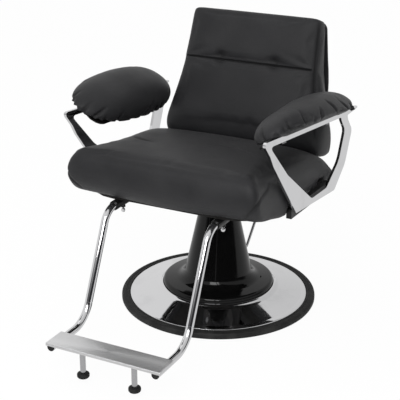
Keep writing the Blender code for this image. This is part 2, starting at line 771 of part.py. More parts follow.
def make_frame(seat, bolt_tool):
    half = FRAME_PLATE_HALF
    frame = place("seat_frame", block_mesh("seat_frame", (-half, -half, frame_bottom),
                                           (half, half, frame_bottom + FRAME_PLATE)), ENAMEL, seat)
    low = frame_top - FRAME_BAR_HEIGHT - FRAME_WELD
    half_bar = FRAME_BAR_WIDTH / 2
    for name, side in both_sides():
        middle = side * LONG_BAR_OFFSET
        bar = block_mesh(f"long_bar_{name}", (middle - half_bar, LONG_BAR_FRONT, low),
                         (middle + half_bar, LONG_BAR_REAR, frame_top))
        combine(frame, cutter(f"long_bar_{name}", bar, seat), "UNION")
    for name, y in (("front", CROSS_BAR_FRONT), ("rear", CROSS_BAR_REAR)):
        reach = cross_bar_end(y)
        bar = block_mesh(f"cross_bar_{name}", (-reach, y - half_bar, low + FRAME_WELD / 2),
                         (reach, y + half_bar, frame_top))
        combine(frame, cutter(f"cross_bar_{name}", bar, seat), "UNION")
    combine(frame, bolt_tool, "DIFFERENCE")


# Footrest sockets, tubes, plate and feet
def make_sockets(seat):
    rear = CROSS_BAR_FRONT - FRAME_BAR_WIDTH / 2 - GAP
    clamp_place = SOCKET_MOUTH + CLAMP_SETBACK
    for name, side in both_sides():
        x = side * TUBE_SPREAD
        axis = (x, SOCKET_MOUTH, tube_top_axis)
        run = (0.0, rear - SOCKET_MOUTH, 0.0)
        socket = place(f"tube_socket_{name}", rod_mesh(f"tube_socket_{name}", [(axis, run, socket_radius)],
                                                           SOCKET_STEPS), ENAMEL, seat)
        boss = rod_mesh(f"clamp_boss_{name}", [((x, clamp_place, tube_top_axis - CLAMP_BOSS_DROP),
                                               (0.0, 0.0, CLAMP_BOSS_DROP), CLAMP_BOSS_RADIUS)])
        combine(socket, cutter(f"clamp_boss_{name}", boss, seat), "UNION")
        before = (x, SOCKET_MOUTH - CUT_LEAD, tube_top_axis)
        through = (0.0, rear - SOCKET_MOUTH + 2 * CUT_LEAD, 0.0)
        bore = rod_mesh(f"socket_bore_{name}", [(before, through, TUBE_RADIUS + RUN)], SOCKET_STEPS)
        combine(socket, cutter(f"socket_bore_{name}", bore, seat), "DIFFERENCE")
        drill = rod_mesh(f"clamp_hole_{name}", [((x, clamp_place, tube_top_axis - 2 * CLAMP_BOSS_DROP),
                                                (0.0, 0.0, 2 * CLAMP_BOSS_DROP), CLAMP_STEM_RADIUS + RUN)])
        combine(socket, cutter(f"clamp_hole_{name}", drill, seat), "DIFFERENCE")

        stem_top = CLAMP_BALL_DROP - TUBE_RADIUS - GAP
        neck = math.sqrt(CLAMP_BALL_RADIUS ** 2 - CLAMP_STEM_RADIUS ** 2)
        ball = [(0.0, stem_top), (CLAMP_STEM_RADIUS, stem_top)]
        first = math.atan2(neck, CLAMP_STEM_RADIUS)
        for step in range(BALL_STEPS):
            angle = first + (-math.pi / 2 - first) * step / BALL_STEPS
            ball.append((CLAMP_BALL_RADIUS * math.cos(angle), CLAMP_BALL_RADIUS * math.sin(angle)))
        ball.append((0.0, -CLAMP_BALL_RADIUS))
        turned(f"clamp_screw_{name}", ball, CHROME, SCREW_STEPS, closed=False, parent=seat,
               matrix=Matrix.Translation((x, clamp_place, tube_top_axis - CLAMP_BALL_DROP)))


def tube_route():
    """Corners of a footrest tube in its own YZ plane, rear end first."""
    low_corner = TUBE_CORNER - TUBE_DROP * math.tan(TUBE_RAKE)
    rear = SOCKET_MOUTH + TUBE_INSERT
    return [(rear, tube_top_axis, 0.0), (TUBE_CORNER, tube_top_axis, TUBE_UPPER_BEND),
            (low_corner, tube_low_axis, TUBE_LOWER_BEND), (TUBE_END, tube_low_axis, 0.0)]


def make_footrest(rest):
    bore_radius = TUBE_RADIUS - TUBE_WALL
    route = rounded(tube_route(), closed=False, steps=BEND_STEPS)
    longer = [(route[0][0] + CUT_LEAD, route[0][1]), *route[1:-1], (route[-1][0] - CUT_LEAD, route[-1][1])]
    for name, side in both_sides():
        x = side * TUBE_SPREAD
        skin = curve_mesh("tube_skin", tube_curve("tube_skin", [(x, a, b) for a, b in route], TUBE_RADIUS))
        tube = place(f"footrest_tube_{name}", skin, CHROME, rest)
        core = curve_mesh("tube_core", tube_curve("tube_core", [(x, a, b) for a, b in longer], bore_radius))
        combine(tube, cutter(f"tube_core_{name}", core, rest), "DIFFERENCE")

        plug = bore_radius - CAP_PLUG_EASE
        cap = [(0.0, CAP_HEAD), (TUBE_RADIUS, CAP_HEAD), (TUBE_RADIUS, GAP), (plug, GAP),
               (plug, -CAP_PLUG), (0.0, -CAP_PLUG)]
        turn = Vector((0.0, -1.0, 0.0)).to_track_quat("Z", "Y").to_matrix().to_4x4()
        turned(f"tube_cap_{name}", cap, RUBBER, SCREW_STEPS, closed=False, parent=rest,
               matrix=Matrix.Translation((x, TUBE_END, tube_low_axis)) @ turn)
    make_footplate(rest)


def footplate_front():
    """Front edge of the foot plate, whose folded lip covers the tubes' caps."""
    return TUBE_END - CAP_HEAD - GAP - FOOTPLATE_SHEET


def make_footplate(rest):
    half = FOOTPLATE_WIDTH / 2
    front = footplate_front()
    mesh = block_mesh("footrest_plate", (-half, front, footplate_top - FOOTPLATE_HEIGHT),
                      (half, front + FOOTPLATE_DEPTH, footplate_top))
    form = bmesh.new()
    form.from_mesh(mesh)
    form.faces.ensure_lookup_table()
    bottom = min(form.faces, key=lambda face: face.calc_center_median().z)
    bmesh.ops.delete(form, geom=[bottom], context="FACES_ONLY")
    form.to_mesh(mesh)
    form.free()
    plate = place("footrest_plate", mesh, BRUSHED, rest)
    shell = plate.modifiers.new("sheet", "SOLIDIFY")
    shell.thickness = FOOTPLATE_SHEET
    shell.offset = -1
    shell.use_even_offset = True
    rear = front + FOOTPLATE_DEPTH
    room = TUBE_RADIUS + GAP
    for name, side in both_sides():
        x = side * TUBE_SPREAD
        notch = block_mesh(f"tube_notch_{name}",
                           (x - room, rear - 2 * FOOTPLATE_SHEET, footplate_top - 2 * FOOTPLATE_HEIGHT),
                           (x + room, rear + FOOTPLATE_SHEET, footplate_top - FOOTPLATE_SHEET - GAP / 2))
        combine(plate, cutter(f"tube_notch_{name}", notch, rest), "DIFFERENCE")


def make_legs(rest):
    y = footplate_front() + LEG_SETBACK
    top = footplate_top - FOOTPLATE_SHEET - GAP
    bottom = top - LEG_LENGTH
    bore_top = top - LEG_BORE_TOP
    leg = [(0.0, top), (LEG_RADIUS, top), (LEG_RADIUS, bottom), (LEG_BORE, bottom),
           (LEG_BORE, bore_top), (0.0, bore_top)]
    stem = LEG_BORE - RUN
    pad_top = bottom - GAP
    foot = [(0.0, pad_top + STEM_LENGTH), (stem, pad_top + STEM_LENGTH), (stem, pad_top)]
    sole = pad_top - FOOT_HEIGHT
    foot += rounded([(stem, pad_top, 0.0), (FOOT_RADIUS, pad_top, FOOT_TOP_ROUND),
                     (FOOT_RADIUS, sole, FOOT_SOLE_ROUND), (0.0, sole, 0.0)], closed=False)[1:]
    for name, side in both_sides():
        spot = Matrix.Translation((side * LEG_SPREAD, y, 0.0))
        turned(f"foot_leg_{name}", leg, CHROME, SCREW_STEPS, closed=False, parent=rest, matrix=spot)
        turned(f"foot_{name}", foot, RUBBER, SCREW_STEPS, closed=False, parent=rest, matrix=spot)


# Seat
def make_seat(seat):
    half = SEAT_HALF_WIDTH - BOARD_INSET
    front = SEAT_FRONT + BOARD_FRONT_INSET
    rear = SEAT_REAR - BOARD_INSET
    outline = rounded([(-half, front, BOARD_FRONT_ROUND), (half, front, BOARD_FRONT_ROUND),
                       (half, rear, BOARD_REAR_ROUND), (-half, rear, BOARD_REAR_ROUND)], steps=BEND_STEPS)
    board = outline_curve("seat_board", [outline], BOARD_THICKNESS)
    place("seat_board", board, BOARD, seat,
          Matrix.Translation((0.0, 0.0, frame_top + GAP + BOARD_THICKNESS / 2)))

    foot = board_top + GAP
    middle = (SEAT_FRONT + SEAT_REAR) / 2
    half_depth = (SEAT_REAR - SEAT_FRONT) / 2

    def shape(u, v, w):
        """Place a cage point: u across, v to the rear, w from the underside to the crown."""
        lift = (w + 1) / 2
        corner = SEAT_FOOT_CORNER + (SEAT_CORNER - SEAT_FOOT_CORNER) * min(1.0, 2 * lift)
        x = u * math.sqrt(1 - corner * v * v / 2)
        y = v * math.sqrt(1 - corner * u * u / 2)
        edge = max(abs(u), abs(v)) ** 4
        top_draw = SEAT_TOP_DRAW * max(0.0, 2 * lift - 1) ** 2 * edge
        foot_draw = max(0.0, 1 - 2 * lift) ** 2 * edge
        x *= SEAT_HALF_WIDTH + SEAT_FLARE * v ** 4 - top_draw - SEAT_SIDE_DRAW * foot_draw
        end_draw = SEAT_FRONT_DRAW if v < 0 else SEAT_SIDE_DRAW
        y = middle + y * (half_depth - top_draw - end_draw * foot_draw)
        share = (v + 1) / 2
        height = SEAT_FRONT_HEIGHT + (SEAT_REAR_HEIGHT - SEAT_FRONT_HEIGHT) * share ** SEAT_FALL_POWER
        height += SEAT_CROWN * (1 - u ** 4) * (1 - v ** 4)
        rolled = max(0.0, v - SEAT_ROLL_START) / (1 - SEAT_ROLL_START)
        height *= 1 - SEAT_REAR_ROLL * rolled ** 2
        return x, y, foot + height * lift

    columns = [-1.0, -0.82, -0.55, -0.2, 0.2, 0.55, 0.82, 1.0]
    rows = [-1.0, -0.85, -0.6, -0.3, 0.0, 0.3, 0.6, 0.85, 1.0]
    layers = [-1.0, -0.35, 0.35, 1.0]
    soft_form("seat_cushion", columns, rows, layers, shape, LEATHER, seat)


# Arms
def ring_outlines():
    """Edge and opening of an arm ring in its own plane: along the arm, and above the frame's top."""
    rear_low = rail_height(ARM_TIP_REAR) - ARM_TAIL_HEIGHT
    tail = [(ARM_TAIL_START, rear_low - ARM_TAIL_TAPER, ARM_TIP_ROUND),
            (ARM_TIP_REAR, rear_low, ARM_TAIL_ROUND),
            (ARM_TIP_REAR, rail_height(ARM_TIP_REAR), ARM_TAIL_ROUND),
            (ARM_TIP_FRONT, rail_height(ARM_TIP_FRONT), ARM_TIP_ROUND)]
    under = [(y, rail_height(y) - ARM_RAIL_HEIGHT, ARM_UNDER_ROUND)
             for y in (ARM_UNDER_REAR, ARM_UNDER_FRONT)]
    return [rounded([*ARM_EDGE, *tail]), rounded([*ARM_OPENING, *under])]


STAND_UP = Matrix(((0.0, 0.0, 1.0, 0.0), (1.0, 0.0, 0.0, 0.0), (0.0, 1.0, 0.0, 0.0), (0.0, 0.0, 0.0, 1.0)))


def make_arm(seat, name, side):
    arm = empty(f"arm_{name}", arm_matrix(side), seat)
    lean = Matrix.Rotation(rail_slope, 4, "X") @ Matrix.Rotation(-side * PAD_ROLL, 4, "Y")
    rail_top = Matrix.Translation((0.0, PAD_CENTRE, rail_height(PAD_CENTRE)))
    pad_frame = empty(f"pad_{name}", rail_top @ lean @ Matrix.Translation((0.0, 0.0, -PAD_SINK)), arm)
    half_groove = ARM_PLATE / 2 + GAP
    groove = block_mesh("rail_groove", (-half_groove, -PAD_HALF_LENGTH - CUT_LEAD, -PAD_CROWN),
                        (half_groove, PAD_HALF_LENGTH + CUT_LEAD, GAP))
    groove_tool = cutter(f"rail_groove_{name}", groove, arm, rail_top @ Matrix.Rotation(rail_slope, 4, "X"))

    ring_mesh = curve_mesh("arm_ring", outline_curve("arm_ring", ring_outlines(), ARM_PLATE))
    ring_mesh.transform(STAND_UP)
    ring = place(f"arm_frame_{name}", ring_mesh, CHROME, arm)

    outer = side * -(ARM_PLATE / 2 + GAP)
    inner = side * -bracket_face()
    low, high = min(outer, inner), max(outer, inner)
    bracket = place(f"arm_bracket_{name}",
                    block_mesh("arm_bracket", (low, BRACKET_FRONT, -BRACKET_TOP - BRACKET_HEIGHT),
                               (high, BRACKET_REAR, -BRACKET_TOP)), ENAMEL, arm)

    outward = (side, 0.0, 0.0)
    bolt_holes = []
    for spot, y, drop in (("front", ARM_BOLT_FRONT, ARM_BOLT_FRONT_DROP),
                          ("rear", ARM_BOLT_REAR, ARM_BOLT_REAR_DROP)):
        start = (inner, y, -drop)
        cap_screw(f"arm_bolt_{spot}_{name}", start, outward, BRACKET_THICKNESS + GAP, arm)
        bolt_holes.append(screw_hole(start, outward, BRACKET_THICKNESS + BOLT_BITE + 2 * GAP))
    bolt_tool = cutter(f"arm_bolt_holes_{name}", rod_mesh("arm_bolt_holes", bolt_holes), arm)
    combine(bracket, bolt_tool, "DIFFERENCE")
    combine(ring, bolt_tool, "DIFFERENCE")
    make_arm_pad(pad_frame, ring, groove_tool, name, side)


def rail_inset(depth):
    """Distance in the pad's plane from its origin to a depth inside the arm ring's inner face."""
    return (PAD_SINK * math.sin(PAD_ROLL) + ARM_PLATE / 2 - depth) / math.cos(PAD_ROLL)


def make_arm_pad(pad_frame, ring, groove_tool, name, side):
    upward = (0.0, 0.0, 1.0)
    holes = []
    near = -side * rail_inset(TAB_WELD)
    far = -side * TAB_REACH
    grip = TAB_THICKNESS + GAP
    for spot, y in (("front", -TAB_SPREAD), ("rear", TAB_SPREAD)):
        tab = block_mesh(f"tab_{spot}", (min(near, far), y - TAB_WIDTH / 2, -grip),
                         (max(near, far), y + TAB_WIDTH / 2, -GAP))
        combine(ring, cutter(f"tab_{spot}_{name}", tab, pad_frame), "UNION")
        start = (-side * PAD_SCREW_PLACE, y, -grip)
        cap_screw(f"pad_screw_{spot}_{name}", start, upward, grip, pad_frame, PAD_SCREW_BITE)
        holes.append(screw_hole(start, upward, grip + PAD_SCREW_BITE + GAP))
    hole_tool = cutter(f"pad_screw_holes_{name}", rod_mesh("pad_screw_holes", holes), pad_frame)
    combine(ring, hole_tool, "DIFFERENCE")

    shift = side * PAD_SHIFT
    board_near = -side * rail_inset(-GAP)
    board_far = shift - side * (PAD_HALF_WIDTH - PAD_BOARD_INSET)
    half_length = PAD_HALF_LENGTH - PAD_BOARD_INSET
    corners = ((board_near, -half_length), (board_far, -half_length), (board_far, half_length),
               (board_near, half_length))
    outline = rounded([(x, y, PAD_BOARD_ROUND) for x, y in corners])
    board = place(f"arm_pad_board_{name}",
                  curve_mesh("arm_pad_board", outline_curve("arm_pad_board", [outline], PAD_BOARD_THICKNESS)),
                  BOARD, pad_frame, Matrix.Translation((0.0, 0.0, PAD_BOARD_THICKNESS / 2)))
    combine(board, hole_tool, "DIFFERENCE")

    foot = PAD_BOARD_THICKNESS + GAP
    mesh = bpy.data.meshes.new(f"arm_pad_{name}")
    form = bmesh.new()
    bmesh.ops.create_uvsphere(form, u_segments=3 * PAD_GATHERS, v_segments=PAD_STEPS, radius=1.0)
    for vert in form.verts:
        vert.co = pad_point(vert.co, side, shift, foot)
    form.normal_update()
    bmesh.ops.recalc_face_normals(form, faces=form.faces)
    form.to_mesh(mesh)
    form.free()
    mesh.shade_smooth()
    combine(place(f"arm_pad_{name}", mesh, LEATHER, pad_frame), groove_tool, "DIFFERENCE")


def pad_point(point, side, shift, foot):
    """Turn a point of a unit ball into a point of a gathered arm pad that lies flat on its board."""
    around = math.atan2(point.y, point.x)
    flat = math.hypot(point.x, point.y)
    low = max(0.0, 1.0 - abs(point.z - PAD_GATHER_LEVEL) / PAD_GATHER_REACH)
    gather = 1.0 - PAD_GATHER_DEPTH * low * (0.5 + 0.5 * math.cos(PAD_GATHERS * around))
    reach = flat ** PAD_FULLNESS * gather
    x = math.copysign(abs(math.cos(around)) ** PAD_FULLNESS, math.cos(around)) * PAD_HALF_WIDTH * reach
    y = math.copysign(abs(math.sin(around)) ** PAD_FULLNESS, math.sin(around)) * PAD_HALF_LENGTH * reach
    rise = PAD_CROWN * point.z if point.z > 0 else PAD_BASE * max(-1.0, point.z / PAD_FLAT)
    return shift + side * x, y, foot + PAD_BASE + rise


# Back
def back_face(height):
    """Place of the back's front face at a height above the frame's top, without puff or seam."""
    face = BACK_SEAM_FACE + BACK_LEAN * (height - BACK_SEAM)
    if height < BACK_ROLL_TOP:
        share = min(1.0, (BACK_ROLL_TOP - height) / (BACK_ROLL_TOP - BACK_BOTTOM))
        face += BACK_ROLL_DEPTH * (1 - math.sqrt(1 - share * share))
    return face


def back_half_width(height):
    """Half width of the back at a height above the frame's top."""
    if height >= BACK_SEAM:
        share = (height - BACK_SEAM) / (BACK_TOP - BACK_SEAM)
        return BACK_SEAM_HALF_WIDTH + (BACK_TOP_HALF_WIDTH - BACK_SEAM_HALF_WIDTH) * share
    if height >= BACK_ROLL_TOP:
        share = (BACK_SEAM - height) / (BACK_SEAM - BACK_ROLL_TOP)
        return BACK_SEAM_HALF_WIDTH + (BACK_LOW_HALF_WIDTH - BACK_SEAM_HALF_WIDTH) * share ** BACK_WAIST_POWER
    share = (BACK_ROLL_TOP - height) / (BACK_ROLL_TOP - BACK_BOTTOM)
    return BACK_LOW_HALF_WIDTH - BACK_ROLL_NARROWING * (1 - math.sqrt(1 - min(1.0, share * share)))


def make_back_cushion(seat):
    tuft_height = BACK_SEAM + TUFT_ABOVE_SEAM
    roll = BACK_ROLL_TOP - BACK_BOTTOM
    panel = BACK_SEAM - BACK_ROLL_TOP
    rows = [BACK_BOTTOM, BACK_BOTTOM + roll / 6, BACK_BOTTOM + roll / 2, BACK_ROLL_TOP,
            BACK_ROLL_TOP + panel / 3, BACK_ROLL_TOP + panel * 2 / 3, BACK_SEAM - 2 * SEAM_WIDTH, BACK_SEAM,
            tuft_height, tuft_height + TUFT_WIDTH, BACK_TOP - BACK_TOP_ROUND, BACK_TOP]
    tuft = TUFT_SPREAD / BACK_SEAM_HALF_WIDTH
    dimple = 2 * TUFT_WIDTH / BACK_SEAM_HALF_WIDTH
    half = [tuft - dimple, tuft, tuft + dimple, (1 + tuft + dimple) / 2, 1.0]
    columns = [-value for value in reversed(half)] + [0.0] + half

    def shape(u, height, w):
        """Place a cage point: u across, height up, w from the rear face (0) to the front face (1)."""
        inset = BACK_EDGE_INSET * (1 - math.sin(math.pi * w)) if 0 < w < 1 else BACK_EDGE_INSET
        x = u * (back_half_width(height) - inset)
        front = back_face(height)
        span = (height - BACK_ROLL_TOP) / (BACK_TOP - BACK_ROLL_TOP)
        if span > 0:
            front -= BACK_PUFF * (1 - u ** 4) * math.sin(math.pi * min(1.0, span))
        front += SEAM_DEPTH * math.exp(-((height - BACK_SEAM) / SEAM_WIDTH) ** 2)
        away = math.hypot(abs(x) - TUFT_SPREAD, height - tuft_height)
        front += TUFT_DEPTH * math.exp(-(away / TUFT_WIDTH) ** 2)
        fall = BACK_TOP_FALL * (1 - w) * max(0.0, span)
        y = BACK_REAR_FACE + (front - BACK_REAR_FACE) * w
        return x, y, frame_top + height - fall

    soft_form("back_cushion", columns, rows, [0.0, 0.5, 1.0], shape, LEATHER, seat)


def make_back_board(seat):
    inset = BACK_BOARD_INSET
    low = BACK_BOTTOM + 2 * inset
    wide = BACK_ROLL_TOP
    top = BACK_TOP - BACK_TOP_FALL - inset
    corner = BACK_BOARD_ROUND
    half = [(back_half_width(low) - 2 * inset, low, corner),
            (back_half_width(wide) - inset, wide, 2 * corner),
            (back_half_width(BACK_SEAM) - inset, BACK_SEAM, 0.0),
            (back_half_width(top) - inset, top, corner)]
    outline = rounded(half + [(-x, z, radius) for x, z, radius in reversed(half)])
    board = curve_mesh("back_board", outline_curve("back_board", [outline], BACK_BOARD_THICKNESS))
    upright = Matrix.Rotation(math.pi / 2, 4, "X")
    rear = BACK_REAR_FACE + GAP + BACK_BOARD_THICKNESS
    board.transform(Matrix.Translation((0.0, rear - BACK_BOARD_THICKNESS / 2, frame_top)) @ upright)
    panel = place("back_board", board, BOARD, seat)

    inward = (0.0, -1.0, 0.0)
    bar_front = rear + GAP
    bar_rear = bar_front + BACK_BAR_THICKNESS
    leg_top = -FRAME_BAR_HEIGHT - FRAME_WELD - GAP
    leg_low = leg_top - BACK_BAR_THICKNESS
    bend = BACK_BAR_BEND
    edge = [(BACK_BAR_FOOT, leg_top, 0.0), (BACK_BAR_FOOT, leg_low, 0.0), (bar_rear, leg_low, bend),
            (bar_rear, BACK_BAR_TOP, BACK_BAR_TIP_ROUND), (bar_front, BACK_BAR_TOP, BACK_BAR_TIP_ROUND),
            (bar_front, leg_top, bend - BACK_BAR_THICKNESS)]
    holes = []
    for name, side in both_sides():
        x = side * LONG_BAR_OFFSET
        bar_mesh = curve_mesh("back_bar", outline_curve("back_bar", [rounded(edge)], BACK_BAR_WIDTH))
        bar_mesh.transform(Matrix.Translation((x, 0.0, frame_top)) @ STAND_UP)
        bar = place(f"back_bar_{name}", bar_mesh, ENAMEL, seat)
        own_holes = []
        for spot, height in (("lower", BACK_BOLT_LOW), ("upper", BACK_BOLT_HIGH)):
            start = (x, bar_rear, frame_top + height)
            cap_screw(f"back_bolt_{spot}_{name}", start, inward, BACK_BAR_THICKNESS + GAP, seat)
            own_holes.append(screw_hole(start, inward, BACK_BAR_THICKNESS + BOLT_BITE + 2 * GAP))
        drill = cutter(f"back_bolt_holes_{name}", rod_mesh("back_bolt_holes", own_holes), seat)
        combine(bar, drill, "DIFFERENCE")
        holes += own_holes
    combine(panel, cutter("back_board_holes", rod_mesh("back_board_holes", holes), seat), "DIFFERENCE")


def make_chair():
    make_base()
    make_column_cover()
    make_pump()
    make_ram()
    make_lever()
    seat = empty("seat_swivel", Matrix.Identity(4))
    make_frame(seat, make_hub(seat))
    make_sockets(seat)
    rest = empty("footrest_slide", Matrix.Identity(4), seat)
    make_footrest(rest)
    make_legs(rest)
    make_seat(seat)
    for name, side in both_sides():
        make_arm(seat, name, side)
    make_back_cushion(seat)
    make_back_board(seat)
    bpy.context.view_layer.update()


make_chair()
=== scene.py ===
# %% [markdown]
# # A hydraulic styling chair
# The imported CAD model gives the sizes, the moving bodies and their joints. This lesson dresses it.
# Hard pieces that show their facets are modelled again with finer curves, the cushions are stuffed by
# simulation, and every surface gets a finish of its own.
# All places are in metres, +Z is up, the sitter faces -Y and the sitter's left is +X.

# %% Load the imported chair
import json
import math

import bmesh
import bpy
import numpy as np
from mathutils import Matrix
from mathutils import Vector
from mathutils.bvhtree import BVHTree


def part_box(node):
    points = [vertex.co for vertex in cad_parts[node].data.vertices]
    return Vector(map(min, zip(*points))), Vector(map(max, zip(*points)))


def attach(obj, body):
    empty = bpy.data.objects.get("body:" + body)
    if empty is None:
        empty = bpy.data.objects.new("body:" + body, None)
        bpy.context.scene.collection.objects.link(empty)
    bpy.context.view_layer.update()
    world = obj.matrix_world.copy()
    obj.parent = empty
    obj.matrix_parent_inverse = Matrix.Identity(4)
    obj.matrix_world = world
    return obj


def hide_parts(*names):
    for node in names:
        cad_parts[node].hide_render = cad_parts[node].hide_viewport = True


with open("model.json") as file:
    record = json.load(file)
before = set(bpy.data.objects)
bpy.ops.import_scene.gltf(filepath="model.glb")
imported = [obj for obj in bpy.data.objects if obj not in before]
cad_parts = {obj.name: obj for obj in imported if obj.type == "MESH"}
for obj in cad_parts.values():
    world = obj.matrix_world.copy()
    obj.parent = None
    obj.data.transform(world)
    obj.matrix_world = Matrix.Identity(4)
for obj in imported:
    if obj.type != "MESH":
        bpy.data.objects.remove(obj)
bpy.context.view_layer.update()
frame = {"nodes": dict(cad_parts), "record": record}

nodes = frame["nodes"]

# %% [markdown]
# ## Camera
# The photograph was taken from the chair's front left, a little above the seat, with a long lens.
# A camera could be aimed with a tracking constraint, but two plain turns are easier to read: tip it up from
# looking straight down, then swing it round the chair.

# %% Place the camera
scene = bpy.context.scene
scene.view_settings.view_transform = "Standard"
CAMERA_SWING = math.radians(27.40)
CAMERA_RISE = math.radians(21.10)
CAMERA_PLACE = Vector((1.3785, -2.7831, 1.5136))
camera_data = bpy.data.cameras.new("studio_camera")
camera_data.lens = 98.9
camera = bpy.data.objects.new("studio_camera", camera_data)
scene.collection.objects.link(camera)
tip = Matrix.Rotation(math.pi / 2 - CAMERA_RISE, 4, "X")
camera.matrix_world = Matrix.Translation(CAMERA_PLACE) @ Matrix.Rotation(CAMERA_SWING, 4, "Z") @ tip
scene.camera = camera
print("camera", CAMERA_PLACE.length, "m from the origin")

# %% [markdown]
# ## Node helpers
# Shader nodes are wired by hand below. Small helpers keep that readable: one adds a node and fills its
# sockets, two blend colours or shaders, one stretches a value from one range to another, one calculates,
# one compares directions, and one tells the kinds of rays apart.

# %% Helpers for shader nodes
def add_node(tree, kind, values=None, **options):
    """Add a node, set its options and fill its unlinked sockets."""
    made = tree.nodes.new(kind)
    for option, setting in options.items():
        setattr(made, option, setting)
    for socket, value in (values or {}).items():
        made.inputs[socket].default_value = value
    return made


def mix_colours(tree, share, first, second):
    """Blend two colours, each a colour value or a socket, by a share socket."""
    mixer = tree.nodes.new("ShaderNodeMix")
    mixer.data_type = "RGBA"
    tree.links.new(share, mixer.inputs[0])
    for socket, colour in ((mixer.inputs[6], first), (mixer.inputs[7], second)):
        if isinstance(colour, tuple):
            socket.default_value = (*colour, 1.0)
        else:
            tree.links.new(colour, socket)
    return mixer.outputs[2]


def stretch(tree, value, source, target, easing="LINEAR"):
    """Map a value from a source range to a target range, held at the ends."""
    ranges = {"From Min": source[0], "From Max": source[1], "To Min": target[0], "To Max": target[1]}
    ranger = add_node(tree, "ShaderNodeMapRange", ranges, interpolation_type=easing)
    tree.links.new(value, ranger.inputs["Value"])
    return ranger.outputs["Result"]


def calculate(tree, operation, first, second):
    """Combine two values, each a number or a socket."""
    sums = add_node(tree, "ShaderNodeMath", operation=operation)
    for socket, value in zip(sums.inputs, (first, second)):
        if isinstance(value, (int, float)):
            socket.default_value = value
        else:
            tree.links.new(value, socket)
    return sums.outputs[0]


def blend_shaders(tree, share, first, second):
    """Blend two shader sockets by a share socket."""
    blend = add_node(tree, "ShaderNodeMixShader")
    for socket, source in zip(blend.inputs, (share, first, second)):
        tree.links.new(source, socket)
    return blend.outputs[0]


def towards(tree, looking, direction):
    """How far a direction of view points towards a fixed direction."""
    product = add_node(tree, "ShaderNodeVectorMath", {1: direction}, operation="DOT_PRODUCT")
    tree.links.new(looking, product.inputs[0])
    return product.outputs["Value"]


def sort_rays(tree):
    """Sockets that mark the camera's own rays and the mirrored rays."""
    path = add_node(tree, "ShaderNodeLightPath").outputs
    bounced = calculate(tree, "MAXIMUM", path["Is Glossy Ray"], path["Is Transmission Ray"])
    return path["Is Camera Ray"], bounced


print("node helpers ready")

# %% [markdown]
# ## Studio
# The chair stands on a white sweep, so the background is plain white and chrome shows it too. In front of
# the sweep a real studio is dark up to the lamps, and the gloss black column mirrors that darkness. High
# above the sweep the ceiling is dark too, which draws the black wedge on the chrome base. So the world has
# three parts: plain white where the camera looks, a bright room with a dark front and ceiling for
# reflections, and soft light for everything else, stronger from the front.

# %% Light the room
world = bpy.data.worlds.new("white_studio")
world.use_nodes = True
scene.world = world
sky = world.node_tree
sky.nodes.clear()
LIGHT_FROM = (-0.350, -0.937, 0.0)
FRONT_LIGHT = (1.20, 1.20, 1.20)
REAR_LIGHT = (0.50, 0.50, 0.50)
ROOM_FRONT = (0.682, -0.731, 0.0)
DARK_FRONT = (0.025, 0.025, 0.028)
DARK_CEILING = (0.005, 0.005, 0.006)
ROOM_RIGHT = (0.888, 0.460, 0.0)
LEFT_WALL = (0.76, 0.76, 0.76)
RIGHT_WALL = (0.58, 0.58, 0.58)
CEILING_EDGE = (0.750, 0.768)
FRONT_EDGE = (-0.05, 0.30)
LAMP_EDGE = (0.30, 0.50)
REAR_EDGE = (-0.30, -0.10)
RIGHT_EDGE = (-0.2, 0.6)
LIGHT_EDGE = (-0.7, 0.7)
looking = add_node(sky, "ShaderNodeTexCoord").outputs["Generated"]
height = add_node(sky, "ShaderNodeSeparateXYZ")
sky.links.new(looking, height.inputs[0])
ahead = towards(sky, looking, ROOM_FRONT)
in_front = stretch(sky, ahead, FRONT_EDGE, (0.0, 1.0), "SMOOTHSTEP")
below_lamps = stretch(sky, height.outputs["Z"], LAMP_EDGE, (1.0, 0.0), "SMOOTHSTEP")
over_sweep = stretch(sky, height.outputs["Z"], CEILING_EDGE, (0.0, 1.0), "SMOOTHSTEP")
behind = stretch(sky, ahead, REAR_EDGE, (1.0, 0.0), "SMOOTHSTEP")
right_share = stretch(sky, towards(sky, looking, ROOM_RIGHT), RIGHT_EDGE, (0.0, 1.0), "SMOOTHSTEP")
walls = mix_colours(sky, right_share, LEFT_WALL, RIGHT_WALL)
lit_room = mix_colours(sky, calculate(sky, "MULTIPLY", over_sweep, behind), walls, DARK_CEILING)
room_colour = mix_colours(sky, calculate(sky, "MULTIPLY", in_front, below_lamps), lit_room, DARK_FRONT)
front_share = stretch(sky, towards(sky, looking, LIGHT_FROM), LIGHT_EDGE, (0.0, 1.0), "SMOOTHSTEP")
soft_light = add_node(sky, "ShaderNodeBackground", {"Strength": 1.0})
sky.links.new(mix_colours(sky, front_share, REAR_LIGHT, FRONT_LIGHT), soft_light.inputs["Color"])
mirrored = add_node(sky, "ShaderNodeBackground", {"Strength": 1.0})
sky.links.new(room_colour, mirrored.inputs["Color"])
seen = add_node(sky, "ShaderNodeBackground", {"Color": (1, 1, 1, 1), "Strength": 1.0})
from_camera, bounced = sort_rays(sky)
light_or_mirror = blend_shaders(sky, bounced, soft_light.outputs[0], mirrored.outputs[0])
whole = blend_shaders(sky, from_camera, light_or_mirror, seen.outputs[0])
sky.links.new(whole, add_node(sky, "ShaderNodeOutputWorld").inputs["Surface"])
print("room light", REAR_LIGHT, "to", FRONT_LIGHT)

# %% [markdown]
# The floor is a real surface, so it keeps the chair's shadow. Mixed with plain white for the camera and for
# reflections, its shadow stays faint, as on a lit sweep.

